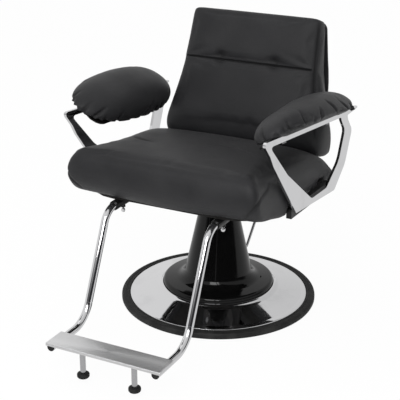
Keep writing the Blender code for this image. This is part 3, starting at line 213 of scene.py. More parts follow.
# %% Lay the floor and hang the lamps
FLOOR_HALF = 14.0
FLOOR_WHITE = 0.95
MIRRORED_FLOOR = 0.68
floor_form = bmesh.new()
bmesh.ops.create_grid(floor_form, x_segments=1, y_segments=1, size=FLOOR_HALF)
floor_mesh = bpy.data.meshes.new("studio_floor")
floor_form.to_mesh(floor_mesh)
floor_form.free()
floor = bpy.data.objects.new("studio_floor", floor_mesh)
scene.collection.objects.link(floor)
floor_paint = bpy.data.materials.new("white_sweep")
floor_paint.use_nodes = True
sweep = floor_paint.node_tree
sweep.nodes.clear()
matt = add_node(sweep, "ShaderNodeBsdfDiffuse", {"Color": (0.88, 0.88, 0.88, 1)})
plain = add_node(sweep, "ShaderNodeEmission", {"Color": (1, 1, 1, 1), "Strength": 1.0})
from_camera, bounced = sort_rays(sweep)
sweep.links.new(stretch(sweep, from_camera, (0.0, 1.0), (MIRRORED_FLOOR, 1.0)), plain.inputs["Strength"])
watched = calculate(sweep, "MAXIMUM", from_camera, bounced)
white_share = calculate(sweep, "MULTIPLY", watched, FLOOR_WHITE)
lit_floor = blend_shaders(sweep, white_share, matt.outputs[0], plain.outputs[0])
sweep.links.new(lit_floor, add_node(sweep, "ShaderNodeOutputMaterial").inputs["Surface"])
floor_mesh.materials.append(floor_paint)


def hang_lamp(name, place, target, size, watts):
    """A square soft lamp that points at a target."""
    lamp_data = bpy.data.lights.new(name, "AREA")
    lamp_data.size = size
    lamp_data.energy = watts
    lamp = bpy.data.objects.new(name, lamp_data)
    scene.collection.objects.link(lamp)
    facing = (Vector(target) - Vector(place)).to_track_quat("-Z", "Y").to_matrix().to_4x4()
    lamp.matrix_world = Matrix.Translation(place) @ facing


hang_lamp("front_softbox", (0.6, -2.6, 2.1), (0.0, -0.1, 0.45), 1.5, 40.0)
hang_lamp("top_softbox", (-0.9, 0.5, 2.9), (0.0, 0.0, 0.5), 1.6, 8.0)
print("floor and two lamps in place")

# %% [markdown]
# ## Shared surface effects
# Four effects come back in several finishes, so each is a node group with named sockets: the pebbled grain
# of a hide, the smudges and hairline scratches of handled metal, the lines that brushing leaves, and the
# gritty skin of moulded rubber or cast iron. Each puts out plain values that the finishes then use.

# %% Start node groups
def new_group(name, inputs, outputs):
    """An empty node group with its sockets and its two end nodes."""
    group = bpy.data.node_groups.new(name, "ShaderNodeTree")
    for label, kind, start in inputs:
        socket = group.interface.new_socket(name=label, in_out="INPUT", socket_type=kind)
        if start is not None:
            socket.default_value = start
    for label in outputs:
        group.interface.new_socket(name=label, in_out="OUTPUT", socket_type="NodeSocketFloat")
    return group, group.nodes.new("NodeGroupInput").outputs, group.nodes.new("NodeGroupOutput").inputs


def noise_value(tree, place, scale, detail):
    """A noise value at a place; the scale is a number or a socket."""
    cloud = add_node(tree, "ShaderNodeTexNoise", {"Detail": detail})
    tree.links.new(place, cloud.inputs["Vector"])
    if isinstance(scale, (int, float)):
        cloud.inputs["Scale"].default_value = scale
    else:
        tree.links.new(scale, cloud.inputs["Scale"])
    return cloud.outputs["Fac"]


print("groups can be started")

# %% Hide grain
PLACE = ("Place", "NodeSocketVector", None)
hide_grain, given, put_out = new_group("hide_grain", [PLACE, ("Pebbles", "NodeSocketFloat", 600.0)],
                                       ["Height", "Tone", "Pore"])
pebbles = add_node(hide_grain, "ShaderNodeTexVoronoi", feature="DISTANCE_TO_EDGE")
hide_grain.links.new(given["Place"], pebbles.inputs["Vector"])
hide_grain.links.new(given["Pebbles"], pebbles.inputs["Scale"])
domes = stretch(hide_grain, pebbles.outputs["Distance"], (0.0, 0.28), (0.0, 1.0), "SMOOTHSTEP")
fibres = noise_value(hide_grain, given["Place"], 1500.0, 2.0)
hide_grain.links.new(calculate(hide_grain, "ADD", domes, calculate(hide_grain, "MULTIPLY", fibres, 0.35)),
                     put_out["Height"])
clouds = noise_value(hide_grain, given["Place"], 11.0, 4.0)
hide_grain.links.new(stretch(hide_grain, clouds, (0.32, 0.68), (0.0, 1.0)), put_out["Tone"])
hide_grain.links.new(stretch(hide_grain, domes, (0.0, 0.5), (1.0, 0.0)), put_out["Pore"])
print("group", hide_grain.name)

# %% Handled metal
handled, given, put_out = new_group("handled_metal", [PLACE, ("Smudge Size", "NodeSocketFloat", 14.0)],
                                    ["Smudge", "Scratch", "Height"])
smears = noise_value(handled, given["Place"], given["Smudge Size"], 5.0)
handled.links.new(stretch(handled, smears, (0.45, 0.75), (0.0, 1.0), "SMOOTHSTEP"), put_out["Smudge"])
slide = add_node(handled, "ShaderNodeMapping", {"Scale": (25.0, 900.0, 700.0), "Rotation": (0.4, 0.7, 0.3)})
handled.links.new(given["Place"], slide.inputs["Vector"])
hairs = noise_value(handled, slide.outputs["Vector"], 1.0, 1.0)
handled.links.new(stretch(handled, hairs, (0.70, 0.78), (0.0, 1.0)), put_out["Scratch"])
ripple = noise_value(handled, given["Place"], 45.0, 2.0)
handled.links.new(ripple, put_out["Height"])
print("group", handled.name)

# %% Brush lines and gritty skin
brushing, given, put_out = new_group("brush_lines", [PLACE, ("Stretch", "NodeSocketVector", None)],
                                     ["Line"])
combed = add_node(brushing, "ShaderNodeVectorMath", operation="MULTIPLY")
brushing.links.new(given["Place"], combed.inputs[0])
brushing.links.new(given["Stretch"], combed.inputs[1])
brushing.links.new(noise_value(brushing, combed.outputs[0], 1.0, 3.0), put_out["Line"])

gritty, given, put_out = new_group("gritty_skin", [PLACE, ("Grit", "NodeSocketFloat", 900.0)],
                                   ["Height", "Dust"])
grains = noise_value(gritty, given["Place"], given["Grit"], 3.0)
gritty.links.new(grains, put_out["Height"])
settled = noise_value(gritty, given["Place"], 22.0, 6.0)
gritty.links.new(stretch(gritty, settled, (0.42, 0.72), (0.0, 1.0), "SMOOTHSTEP"), put_out["Dust"])
print("groups", brushing.name, gritty.name)

# %% [markdown]
# ## Finishes
# Each finish starts as a Principled shader. Values that never change are set on its sockets, and what
# varies over the surface, such as colour, roughness and small bumps, comes from the groups above. All of
# them read Object coordinates, so the pattern has the same scale on every piece.

# %% Start a finish
def new_finish(name, **constants):
    """A material with its shader and Object coordinates; constants go straight on the shader."""
    made = bpy.data.materials.new(name)
    made.use_nodes = True
    tree = made.node_tree
    shader = tree.nodes["Principled BSDF"]
    for socket, value in constants.items():
        shader.inputs[socket.replace("_", " ")].default_value = value
    return made, tree, shader, add_node(tree, "ShaderNodeTexCoord").outputs["Object"]


def use_group(tree, group, place, **values):
    """Place a shared effect in a material and give it its values."""
    user = add_node(tree, "ShaderNodeGroup", node_tree=group)
    tree.links.new(place, user.inputs["Place"])
    for socket, value in values.items():
        user.inputs[socket.replace("_", " ")].default_value = value
    return user.outputs


def raise_bumps(tree, shader, height, depth, strength=1.0):
    """Feed a height value to the shader's normal as a bump of a given depth in metres."""
    bump = add_node(tree, "ShaderNodeBump", {"Strength": strength, "Distance": depth})
    tree.links.new(height, bump.inputs["Height"])
    tree.links.new(bump.outputs["Normal"], shader.inputs["Normal"])


def tint(tree, shader, share, first, second):
    """Colour the shader with a blend of two colours."""
    tree.links.new(mix_colours(tree, share, first, second), shader.inputs["Base Color"])


def grained_finish(name, group, sizes, tints, rough, bumps, **constants):
    """A finish whose colour, roughness and bumps each follow one value of a shared effect."""
    made, tree, shader, place = new_finish(name, **constants)
    effect = use_group(tree, group, place, **sizes)
    tint(tree, shader, effect[tints[0]], *tints[1:])
    tree.links.new(stretch(tree, effect[rough[0]], *rough[1:]), shader.inputs["Roughness"])
    raise_bumps(tree, shader, effect[bumps[0]], *bumps[1:])
    return made


print("finishes can be started")

# %% [markdown]
# ### Leather
# The cover is a charcoal black hide with a satin face. Its pebbles are about one and a half millimetres
# across. The hide is a little duller and darker in its pores. In pressed seams, tufts, creases and gathers
# it is duller and painted near black, a painted shade in those grooves, carried by an attribute that the
# cushions store where lines were pressed in.

# %% Black hide
black_hide, tree, shader, place = new_finish("black_hide", Specular_IOR_Level=0.22, Sheen_Weight=0.03,
                                             Sheen_Roughness=0.45)
grain = use_group(tree, hide_grain, place, Pebbles=640.0)
# Painted shade: the hide is painted near black in pressed seams, tufts, creases and gathers.
groove_shade = add_node(tree, "ShaderNodeAttribute", attribute_name="groove_shade").outputs["Fac"]
face = mix_colours(tree, grain["Tone"], (0.0165, 0.0165, 0.0180), (0.0245, 0.0245, 0.0262))
pored = mix_colours(tree, calculate(tree, "MULTIPLY", grain["Pore"], 0.55), face, (0.006, 0.006, 0.0065))
tint(tree, shader, groove_shade, pored, (0.0035, 0.0035, 0.0038))
satin = stretch(tree, grain["Tone"], (0.0, 1.0), (0.36, 0.46))
dulled = calculate(tree, "ADD", satin, calculate(tree, "MULTIPLY", grain["Pore"], 0.12))
seam_dulled = calculate(tree, "ADD", dulled, calculate(tree, "MULTIPLY", groove_shade, 0.2))
tree.links.new(seam_dulled, shader.inputs["Roughness"])
raise_bumps(tree, shader, grain["Height"], 0.00022, 0.55)
print("finish", black_hide.name)

# %% [markdown]
# ### Metals
# Chrome plate is a clean mirror, so its smudges only shift the roughness slightly. The foot plate is sheet
# steel brushed along its length, which spreads reflections across the lines. The two short legs under it
# have a satin chrome, and small screws and pump parts are ground steel.

# %% Chrome, brushed and ground steel
chrome, tree, shader, place = new_finish("chrome_plate", Metallic=1.0)
used = use_group(tree, handled, place, Smudge_Size=16.0)
tint(tree, shader, used["Smudge"], (0.81, 0.81, 0.82), (0.76, 0.76, 0.77))
film = calculate(tree, "MULTIPLY", used["Smudge"], 0.06)
hair = calculate(tree, "MULTIPLY", used["Scratch"], 0.10)
worn = calculate(tree, "ADD", film, hair)
tree.links.new(calculate(tree, "ADD", worn, 0.035), shader.inputs["Roughness"])
raise_bumps(tree, shader, used["Height"], 0.00002, 0.5)

brushed_steel, tree, shader, place = new_finish("brushed_steel", Metallic=1.0, Anisotropic=0.55)
lines = use_group(tree, brushing, place, Stretch=(6.0, 1500.0, 1500.0))
used = use_group(tree, handled, place, Smudge_Size=9.0)
combed = mix_colours(tree, lines["Line"], (0.74, 0.74, 0.745), (0.86, 0.86, 0.865))
tint(tree, shader, calculate(tree, "MULTIPLY", used["Smudge"], 0.35), combed, (0.74, 0.74, 0.74))
tree.links.new(stretch(tree, lines["Line"], (0.2, 0.8), (0.36, 0.46)), shader.inputs["Roughness"])
raise_bumps(tree, shader, lines["Line"], 0.00001, 0.4)

satin_chrome = grained_finish(
    "satin_chrome", brushing, {"Stretch": (700.0, 700.0, 60.0)},
    ("Line", (0.44, 0.44, 0.45), (0.60, 0.60, 0.61)), ("Line", (0.2, 0.8), (0.16, 0.26)),
    ("Line", 0.00002, 0.4), Metallic=1.0)

ground_steel = grained_finish(
    "ground_steel", brushing, {"Stretch": (900.0, 900.0, 40.0)},
    ("Line", (0.36, 0.36, 0.37), (0.54, 0.54, 0.55)), ("Line", (0.2, 0.8), (0.22, 0.38)),
    ("Line", 0.00003, 0.5), Metallic=1.0)
print("finishes", chrome.name, brushed_steel.name, satin_chrome.name, ground_steel.name)

# %% [markdown]
# ### Black finishes
# Four blacks sit side by side on this chair and only their surface tells them apart: dull moulded rubber,
# piano gloss on the column, stoved enamel on the frame, and stained board under the cushions. The base
# casting is dark iron, and the stitches are a waxed thread.

# %% Rubber, gloss, enamel
black_rubber = grained_finish(
    "black_rubber", gritty, {"Grit": 1100.0},
    ("Dust", (0.010, 0.010, 0.010), (0.024, 0.024, 0.023)), ("Height", (0.3, 0.7), (0.52, 0.68)),
    ("Height", 0.0002, 0.45), Specular_IOR_Level=0.24)

piano_gloss, tree, shader, place = new_finish("piano_gloss", Specular_IOR_Level=0.27)
used = use_group(tree, handled, place, Smudge_Size=10.0)
tint(tree, shader, used["Smudge"], (0.0025, 0.0025, 0.0025), (0.0045, 0.0045, 0.0046))
haze = calculate(tree, "MULTIPLY", used["Smudge"], 0.07)
hair = calculate(tree, "MULTIPLY", used["Scratch"], 0.12)
tree.links.new(calculate(tree, "ADD", hair, calculate(tree, "ADD", haze, 0.06)), shader.inputs["Roughness"])
raise_bumps(tree, shader, used["Height"], 0.00004, 0.4)

black_enamel = grained_finish(
    "black_enamel", gritty, {"Grit": 420.0},
    ("Dust", (0.006, 0.006, 0.006), (0.014, 0.014, 0.014)), ("Dust", (0.0, 1.0), (0.28, 0.45)),
    ("Height", 0.00015, 0.35), Specular_IOR_Level=0.25)
print("finishes", black_rubber.name, piano_gloss.name, black_enamel.name)

# %% Iron, board and thread
cast_iron = grained_finish(
    "cast_iron", gritty, {"Grit": 300.0},
    ("Dust", (0.045, 0.045, 0.047), (0.080, 0.077, 0.074)), ("Height", (0.3, 0.7), (0.50, 0.72)),
    ("Height", 0.0006, 0.6), Metallic=0.6)

stained_board, tree, shader, place = new_finish("stained_board", Specular_IOR_Level=0.20)
rings = use_group(tree, brushing, place, Stretch=(160.0, 9.0, 420.0))
skin = use_group(tree, gritty, place, Grit=700.0)
wood = mix_colours(tree, rings["Line"], (0.0050, 0.0047, 0.0044), (0.0115, 0.0106, 0.0098))
tint(tree, shader, calculate(tree, "MULTIPLY", skin["Dust"], 0.4), wood, (0.015, 0.0145, 0.014))
tree.links.new(stretch(tree, rings["Line"], (0.2, 0.8), (0.48, 0.70)), shader.inputs["Roughness"])
raise_bumps(tree, shader, rings["Line"], 0.0003, 0.5)

sewing_thread = grained_finish(
    "sewing_thread", brushing, {"Stretch": (1800.0, 1800.0, 2600.0)},
    ("Line", (0.006, 0.006, 0.007), (0.022, 0.022, 0.024)), ("Line", (0.2, 0.8), (0.50, 0.75)),
    ("Line", 0.0002, 0.6), Sheen_Weight=0.3)
print("finishes", cast_iron.name, stained_board.name, sewing_thread.name)

# %% [markdown]
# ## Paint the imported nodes
# Every node of the CAD model names a slot in the record. The nodes that stay in view get the finish of
# their slot; those that are modelled again below pass their slot on to the new piece.

# %% Give each node its finish
FINISHES = {"leather": black_hide, "chrome": chrome, "brushed": brushed_steel, "rubber": black_rubber,
            "gloss_black": piano_gloss, "enamel": black_enamel, "iron": cast_iron, "steel": ground_steel,
            "board": stained_board}
slot_of = {}
for subpart in frame["record"]["subparts"]:
    slot_of[subpart["node"]] = subpart["material_slot"]
for name, node in nodes.items():
    node.data.materials.clear()
    node.data.materials.append(FINISHES[slot_of[name]])
body_of = {}
for body, members in frame["record"]["behaviour"]["bodies"].items():
    for member in members:
        body_of[member] = body
print("painted", len(nodes), "nodes")

# %% [markdown]
# ## Turned pieces
# The base, the column cover, the ram and many small parts are round. Each is drawn as half a section, a few
# points joined by edges. Beveling a point of that wire rounds it, and spinning the wire makes the body. The
# CAD solids keep few facets for the physics, so these finer copies stand for them.

# %% Draw and round a section
def section_wire(form, corners, closed=False):
    """Draw corners (radius, height, rounding) as a wire in the XZ plane and round its corners."""
    verts = [form.verts.new((radius, 0.0, height)) for radius, height, rounding in corners]
    for start, end in zip(verts, verts[1:]):
        form.edges.new((start, end))
    if closed:
        form.edges.new((verts[-1], verts[0]))
    for vert, (radius, height, rounding) in zip(verts, corners):
        if rounding:
            round_corner(form, vert, rounding)


def round_corner(form, vert, rounding, segments=8):
    """Replace a corner of a wire by an arc of a given radius."""
    before, after = (edge.other_vert(vert).co - vert.co for edge in vert.link_edges)
    reach = rounding / math.tan(before.angle(after) / 2)
    reach = min(reach, 0.49 * before.length, 0.49 * after.length)
    bmesh.ops.bevel(form, geom=[vert], offset=reach, offset_type="OFFSET", affect="VERTICES",
                    segments=segments, profile=0.5, material=-1)


def spin_wire(form, steps=96):
    """Spin a wire about Z into a closed skin that faces outwards."""
    bmesh.ops.spin(form, geom=form.verts[:] + form.edges[:], cent=(0.0, 0.0, 0.0), axis=(0.0, 0.0, 1.0),
                   dvec=(0.0, 0.0, 0.0), angle=2 * math.pi, steps=steps, use_merge=True,
                   use_duplicate=False)
    bmesh.ops.remove_doubles(form, verts=form.verts[:], dist=0.000005)
    bmesh.ops.recalc_face_normals(form, faces=form.faces[:])


print("section helpers ready")

# %% Turn a form into a piece
CREASE_ANGLE = math.radians(32)


def make_piece(name, form, node, finish=None):
    """Put a form in the scene as a piece that stands for a CAD node and rides on its body."""
    mesh = bpy.data.meshes.new(name)
    form.to_mesh(mesh)
    form.free()
    mesh.shade_smooth()
    mesh.set_sharp_from_angle(angle=CREASE_ANGLE)
    piece = bpy.data.objects.new(name, mesh)
    scene.collection.objects.link(piece)
    mesh.materials.append(finish or FINISHES[slot_of[node]])
    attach(piece, body_of[node])
    if finish is None:
        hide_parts(node)
    return piece


def turn_piece(name, node, corners, closed=False, steps=96, where=None):
    """A turned piece, about Z or in the place that a matrix gives."""
    form = bmesh.new()
    section_wire(form, corners, closed)
    spin_wire(form, steps)
    if where is not None:
        bmesh.ops.transform(form, matrix=where, verts=form.verts[:])
    return make_piece(name, form, node)


def bevel_edges(form, edges, offset, segments, **options):
    """Round edges of a form."""
    bmesh.ops.bevel(form, geom=edges, offset=offset, segments=segments, affect="EDGES", profile=0.5,
                    material=-1, **options)


def add_form(form, extra):
    """Join another form to a form."""
    mesh = bpy.data.meshes.new("extra")
    extra.to_mesh(mesh)
    extra.free()
    form.from_mesh(mesh)


def thicken(piece, thickness):
    """Give a skin the thickness of its sheet, inwards."""
    sheet = piece.modifiers.new("sheet", "SOLIDIFY")
    sheet.thickness = thickness
    sheet.offset = -1.0


def keep_crisp(piece):
    """Keep flat faces flat in the light, up to their rounded edges."""
    crisp = piece.modifiers.new("crisp", "WEIGHTED_NORMAL")
    crisp.keep_sharp = True


print("pieces can be made")

# %% [markdown]
# ### Base and column
# A rubber rim runs round a chromed dome, and a gloss black cover flares out over it. The rim gets a shallow
# groove on its top, the dome a small collar where it meets the cover, and the cover a rolled lip, because
# such edges catch a thin line of light. The cover's slot for the pump lever is cut with a Boolean modifier
# that is then applied.

# %% Rim and dome
BASE_RADIUS = 0.300
RIM_INNER = 0.275
RIM_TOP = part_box("base_rim")[1].z
GROOVE_DEPTH = 0.0012
rim_corners = [(RIM_INNER, 0.0, 0.0), (BASE_RADIUS - 0.002, 0.0, 0.0), (BASE_RADIUS, 0.004, 0.002),
               (BASE_RADIUS, RIM_TOP - 0.001, 0.007), (0.2865, RIM_TOP, 0.002),
               (0.2855, RIM_TOP - GROOVE_DEPTH, 0.0005), (0.2815, RIM_TOP - GROOVE_DEPTH, 0.0005),
               (0.2805, RIM_TOP, 0.0008), (RIM_INNER, RIM_TOP, 0.002)]
turn_piece("rubber_rim", "base_rim", rim_corners, closed=True, steps=144)

DOME_EDGE = 0.2747
DOME_BREAK = 0.2582
DOME_LIP = 0.0213
DOME_SLOPE = 0.258
DOME_FOOT = 0.0108
DOME_SHEET = 0.0015


def dome_height(radius):
    """Height of the chrome dome's skin at a radius."""
    return DOME_LIP + (DOME_BREAK - radius) * DOME_SLOPE


COLLAR_RADIUS = 0.1724
COLLAR_WIDTH = 0.010
COLLAR_TOP = dome_height(COLLAR_RADIUS + COLLAR_WIDTH) + COLLAR_WIDTH
collar_foot = COLLAR_RADIUS + COLLAR_WIDTH
dome_corners = [(COLLAR_RADIUS, COLLAR_TOP, 0.0), (collar_foot, dome_height(collar_foot), 0.022),
                (DOME_BREAK, DOME_LIP, 0.030), (DOME_EDGE, DOME_LIP - 0.003, 0.006),
                (DOME_EDGE, DOME_FOOT, 0.0)]
dome = turn_piece("chrome_dome", "base_dome", dome_corners, steps=144)
thicken(dome, DOME_SHEET)
print("rim and dome", RIM_TOP, COLLAR_TOP)

# %% Column cover
def apply_modifiers(piece):
    """Bake a piece's modifiers into its mesh."""
    bpy.context.view_layer.update()
    baked = bpy.data.meshes.new_from_object(piece.evaluated_get(bpy.context.evaluated_depsgraph_get()))
    piece.modifiers.clear()
    piece.data = baked


def cut_away(piece, tool_form):
    """Cut a tool form out of a piece."""
    tool_mesh = bpy.data.meshes.new("tool")
    tool_form.to_mesh(tool_mesh)
    tool_form.free()
    tool = bpy.data.objects.new("tool", tool_mesh)
    scene.collection.objects.link(tool)
    cut = piece.modifiers.new("cut", "BOOLEAN")
    cut.operation = "DIFFERENCE"
    cut.object = tool
    cut.solver = "EXACT"
    apply_modifiers(piece)
    bpy.data.objects.remove(tool)


COVER_FOOT = 0.0457
COVER_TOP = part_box("column_cover")[1].z
COVER_WALL = 0.004
COVER_NECK = 0.055
COVER_FLARE = 0.170
LIP_INNER = 0.166
cover_corners = [(COVER_NECK - COVER_WALL, COVER_TOP - 0.001, 0.0), (COVER_NECK - 0.002, COVER_TOP, 0.001),
                 (COVER_NECK, COVER_TOP - 0.002, 0.0015), (0.1066, 0.0715, 0.034),
                 (COVER_FLARE, 0.0645, 0.011), (COVER_FLARE, COVER_FOOT, 0.001),
                 (LIP_INNER, COVER_FOOT, 0.0), (LIP_INNER, 0.0600, 0.007), (0.1030, 0.0670, 0.038)]
cover = turn_piece("column_skirt", "column_cover", cover_corners, closed=True, steps=144)
LEVER_TURN = math.radians(-5)
SLOT_HALF = 0.008
SLOT_DEPTH = 0.082
SLOT_HEIGHT = 0.0263
SLOT_PLACE = (0.0, 0.096, 0.0889)
SLOT_CORNER = 0.006
slot_form = bmesh.new()
slot_size = Matrix.Diagonal((2 * SLOT_HALF, SLOT_DEPTH, SLOT_HEIGHT, 1.0))
slot_place = Matrix.Rotation(LEVER_TURN, 4, "Z") @ Matrix.Translation(SLOT_PLACE)
bmesh.ops.create_cube(slot_form, size=1.0, matrix=slot_place @ slot_size)
inward = [edge for edge in slot_form.edges if abs((edge.verts[0].co - edge.verts[1].co).y) > SLOT_DEPTH / 2]
bevel_edges(slot_form, inward, SLOT_CORNER, 5)
cut_away(cover, slot_form)
print("column cover", COVER_TOP)

# %% [markdown]
# ### Column inside
# The polished ram only shows when the chair is pumped up, so it needs the same smooth chrome as the rest.

# %% Ram and gland
RAM_FOOT = 0.032
RAM_RADIUS = 0.027
COLLAR_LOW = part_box("ram_wiper")[1].z + 0.0005
COLLAR_HIGH = COLLAR_LOW + 0.006
RAM_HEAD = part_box("ram")[1].z
RAM_COLLAR = 0.037
RAM_SPIGOT = 0.022
GLAND_BORE = 0.0274
GLAND_RADIUS = 0.043
ram_corners = [(0.0, RAM_FOOT, 0.0), (RAM_RADIUS, RAM_FOOT, 0.0), (RAM_RADIUS, COLLAR_LOW, 0.0),
               (RAM_COLLAR, COLLAR_LOW, 0.0008), (RAM_COLLAR, COLLAR_HIGH, 0.0008),
               (RAM_SPIGOT, COLLAR_HIGH, 0.0), (RAM_SPIGOT, RAM_HEAD, 0.001), (0.0, RAM_HEAD, 0.0)]
turn_piece("polished_ram", "ram", ram_corners, steps=72)
GLAND_LOW, GLAND_HIGH = (corner.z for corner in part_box("gland_nut"))
gland_corners = [(GLAND_BORE, GLAND_LOW, 0.0), (GLAND_RADIUS, GLAND_LOW, 0.0),
                 (GLAND_RADIUS, GLAND_HIGH, 0.0015), (GLAND_BORE, GLAND_HIGH, 0.0008)]
turn_piece("gland_ring", "gland_nut", gland_corners, closed=True, steps=72)
print("ram from", RAM_FOOT, "to", RAM_HEAD)

# %% [markdown]
# ## Footrest
# Two bent chrome tubes carry a folded steel plate on two screwed feet. A tube is simplest as a curve with a
# round bevel that follows a rounded route. The curve is made a mesh at once, because the export wants
# meshes. Just above its lower bend each tube has a fine joint, where its two lengths meet.

# %% Bent tubes
def round_route(corners):
    """Points of a route in the YZ plane with its corners (along, up, rounding) rounded."""
    form = bmesh.new()
    verts = [form.verts.new((0.0, along, up)) for along, up, rounding in corners]
    for start, end in zip(verts, verts[1:]):
        form.edges.new((start, end))
    first = verts[0]
    for vert, (along, up, rounding) in zip(verts, corners):
        if rounding:
            round_corner(form, vert, rounding, 14)
    points = [first.co.copy()]
    edge = first.link_edges[0]
    vert = edge.other_vert(first)
    while True:
        points.append(vert.co.copy())
        onward = [other for other in vert.link_edges if other is not edge]
        if not onward:
            break
        edge = onward[0]
        vert = edge.other_vert(vert)
    form.free()
    return points


def tube_form(points, radius, resolution=8, waist=()):
    """A capped round tube along a chain of points, drawn in slightly at the waist points."""
    curve = bpy.data.curves.new("tube", "CURVE")
    curve.dimensions = "3D"
    curve.bevel_depth = radius
    curve.bevel_resolution = resolution
    curve.use_fill_caps = True
    spline = curve.splines.new("POLY")
    spline.points.add(len(points) - 1)
    for index, (spot, point) in enumerate(zip(spline.points, points)):
        spot.co = (*point, 1.0)
        spot.radius = WAIST_SHARE if index in waist else 1.0
    holder = bpy.data.objects.new("tube", curve)
    scene.collection.objects.link(holder)
    bpy.context.view_layer.update()
    mesh = bpy.data.meshes.new_from_object(holder.evaluated_get(bpy.context.evaluated_depsgraph_get()))
    form = bmesh.new()
    form.from_mesh(mesh)
    bmesh.ops.remove_doubles(form, verts=form.verts[:], dist=0.00001)
    bmesh.ops.recalc_face_normals(form, faces=form.faces[:])
    bpy.data.objects.remove(holder)
    return form


SIDES = (("left", 1), ("right", -1))
WAIST_SHARE = 0.93
JOINT_PLACES = (0.0062, 0.0058, 0.0046, 0.0042)
TUBE_RADIUS = 0.0107
TUBE_SPREAD = 0.159
TUBE_HIGH = 0.3876
TUBE_LOW = 0.0998
TUBE_FRONT = -0.6755
TUBE_CORNER = -0.378
TUBE_END = -0.1785
TUBE_ANGLE = math.radians(25)
UPPER_BEND = 0.050
LOWER_BEND = 0.080
tube_lean = (TUBE_HIGH - TUBE_LOW) * math.tan(TUBE_ANGLE)
tube_route = round_route([(TUBE_END, TUBE_HIGH, 0.0), (TUBE_CORNER, TUBE_HIGH, UPPER_BEND),
                          (TUBE_CORNER - tube_lean, TUBE_LOW, LOWER_BEND), (TUBE_FRONT, TUBE_LOW, 0.0)])
spans = [(end - start).length for start, end in zip(tube_route, tube_route[1:])]
lean_end = spans.index(max(spans[1:-1])) + 1
up_lean = (tube_route[lean_end - 1] - tube_route[lean_end]).normalized()
joint = [tube_route[lean_end] + up_lean * place for place in JOINT_PLACES]
tube_route[lean_end:lean_end] = joint
for side, sign in SIDES:
    route = [(sign * TUBE_SPREAD, point.y, point.z) for point in tube_route]
    tube = tube_form(route, TUBE_RADIUS, waist=(lean_end + 1, lean_end + 2))
    make_piece(f"bent_tube_{side}", tube, f"footrest_tube_{side}")

# %% [markdown]
# The tubes end in small rubber caps, and the legs stand on rubber feet. All are turned, then moved to their
# places by a matrix. The clamp screws are chrome balls on short stems under the seat.

# %% Caps, legs, feet and clamp screws
forward = Vector((0.0, -1.0, 0.0)).to_track_quat("Z", "Y").to_matrix().to_4x4()
cap_corners = [(0.0, 0.003, 0.0), (0.0107, 0.003, 0.0022), (0.0107, 0.0003, 0.0), (0.0083, 0.0003, 0.0),
               (0.0083, -0.012, 0.001), (0.0, -0.012, 0.0)]
LEG_SPREAD = 0.0794
LEG_PLACE = -0.6468
LEG_LOW, LEG_HIGH = (corner.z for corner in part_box("foot_leg_left"))
LEG_RADIUS = 0.0078
LEG_BORE = 0.0046
LEG_WEB = 0.016
leg_corners = [(LEG_BORE, LEG_LOW, 0.0), (LEG_RADIUS, LEG_LOW, 0.0008), (LEG_RADIUS, LEG_HIGH, 0.0),
               (0.0, LEG_HIGH, 0.0), (0.0, LEG_HIGH - LEG_WEB, 0.0), (LEG_BORE, LEG_HIGH - LEG_WEB, 0.0)]
SOLE, STEM_TOP = (corner.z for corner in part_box("foot_left"))
FOOT_TOP = LEG_LOW - 0.0003
STEM_RADIUS = 0.0042
foot_corners = [(0.0, STEM_TOP, 0.0), (STEM_RADIUS, STEM_TOP, 0.0008), (STEM_RADIUS, FOOT_TOP, 0.0),
                (0.0095, FOOT_TOP, 0.001), (0.0170, FOOT_TOP - 0.002, 0.004), (0.0168, SOLE + 0.003, 0.002),
                (0.0145, SOLE, 0.0015), (0.0110, SOLE, 0.0), (0.0100, SOLE + 0.001, 0.0),
                (0.0, SOLE + 0.001, 0.0)]
CLAMP_PLACE = -0.2935
BALL_LOW, BALL_HIGH = (corner.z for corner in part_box("clamp_screw_left"))
BALL_RADIUS = 0.006
ball_corners = [(0.0, BALL_LOW, 0.0), (0.0042, BALL_LOW, 0.0), (BALL_RADIUS, BALL_LOW + 0.0036, 0.004),
                (BALL_RADIUS, BALL_LOW + 0.0076, 0.004), (0.0036, BALL_LOW + 0.0112, 0.0012),
                (0.003, BALL_LOW + 0.0125, 0.0), (0.003, BALL_HIGH, 0.0006), (0.0, BALL_HIGH, 0.0)]
for side, sign in SIDES:
    cap_place = Matrix.Translation((sign * TUBE_SPREAD, TUBE_FRONT, TUBE_LOW)) @ forward
    turn_piece(f"rubber_cap_{side}", f"tube_cap_{side}", cap_corners, steps=40, where=cap_place)
    leg_place = Matrix.Translation((sign * LEG_SPREAD, LEG_PLACE, 0.0))
    leg = turn_piece(f"round_leg_{side}", f"foot_leg_{side}", leg_corners, closed=True, steps=48,
                     where=leg_place)
    leg.data.materials[0] = satin_chrome
    turn_piece(f"rubber_foot_{side}", f"foot_{side}", foot_corners, steps=56, where=leg_place)
    clamp_place = Matrix.Translation((sign * TUBE_SPREAD, CLAMP_PLACE, 0.0))
    turn_piece(f"ball_screw_{side}", f"clamp_screw_{side}", ball_corners, steps=40, where=clamp_place)
print("legs from", LEG_LOW, "to", LEG_HIGH)

# %% [markdown]
# ### Foot plate
# The plate is one sheet folded down on all four sides. A block with its bottom face taken off has that
# form. Beveling its upper edges gives the folds their radius, and a Solidify modifier gives the sheet its
# thickness. The rear fold is cut away where the tubes pass under it.

# %% Fold the foot plate
def block_form(low, high):
    """A rectangular block between two corners."""
    form = bmesh.new()
    size = [b - a for a, b in zip(low, high)]
    middle = [(a + b) / 2 for a, b in zip(low, high)]
    bmesh.ops.create_cube(form, size=1.0, matrix=Matrix.Translation(middle) @ Matrix.Diagonal((*size, 1.0)))
    return form


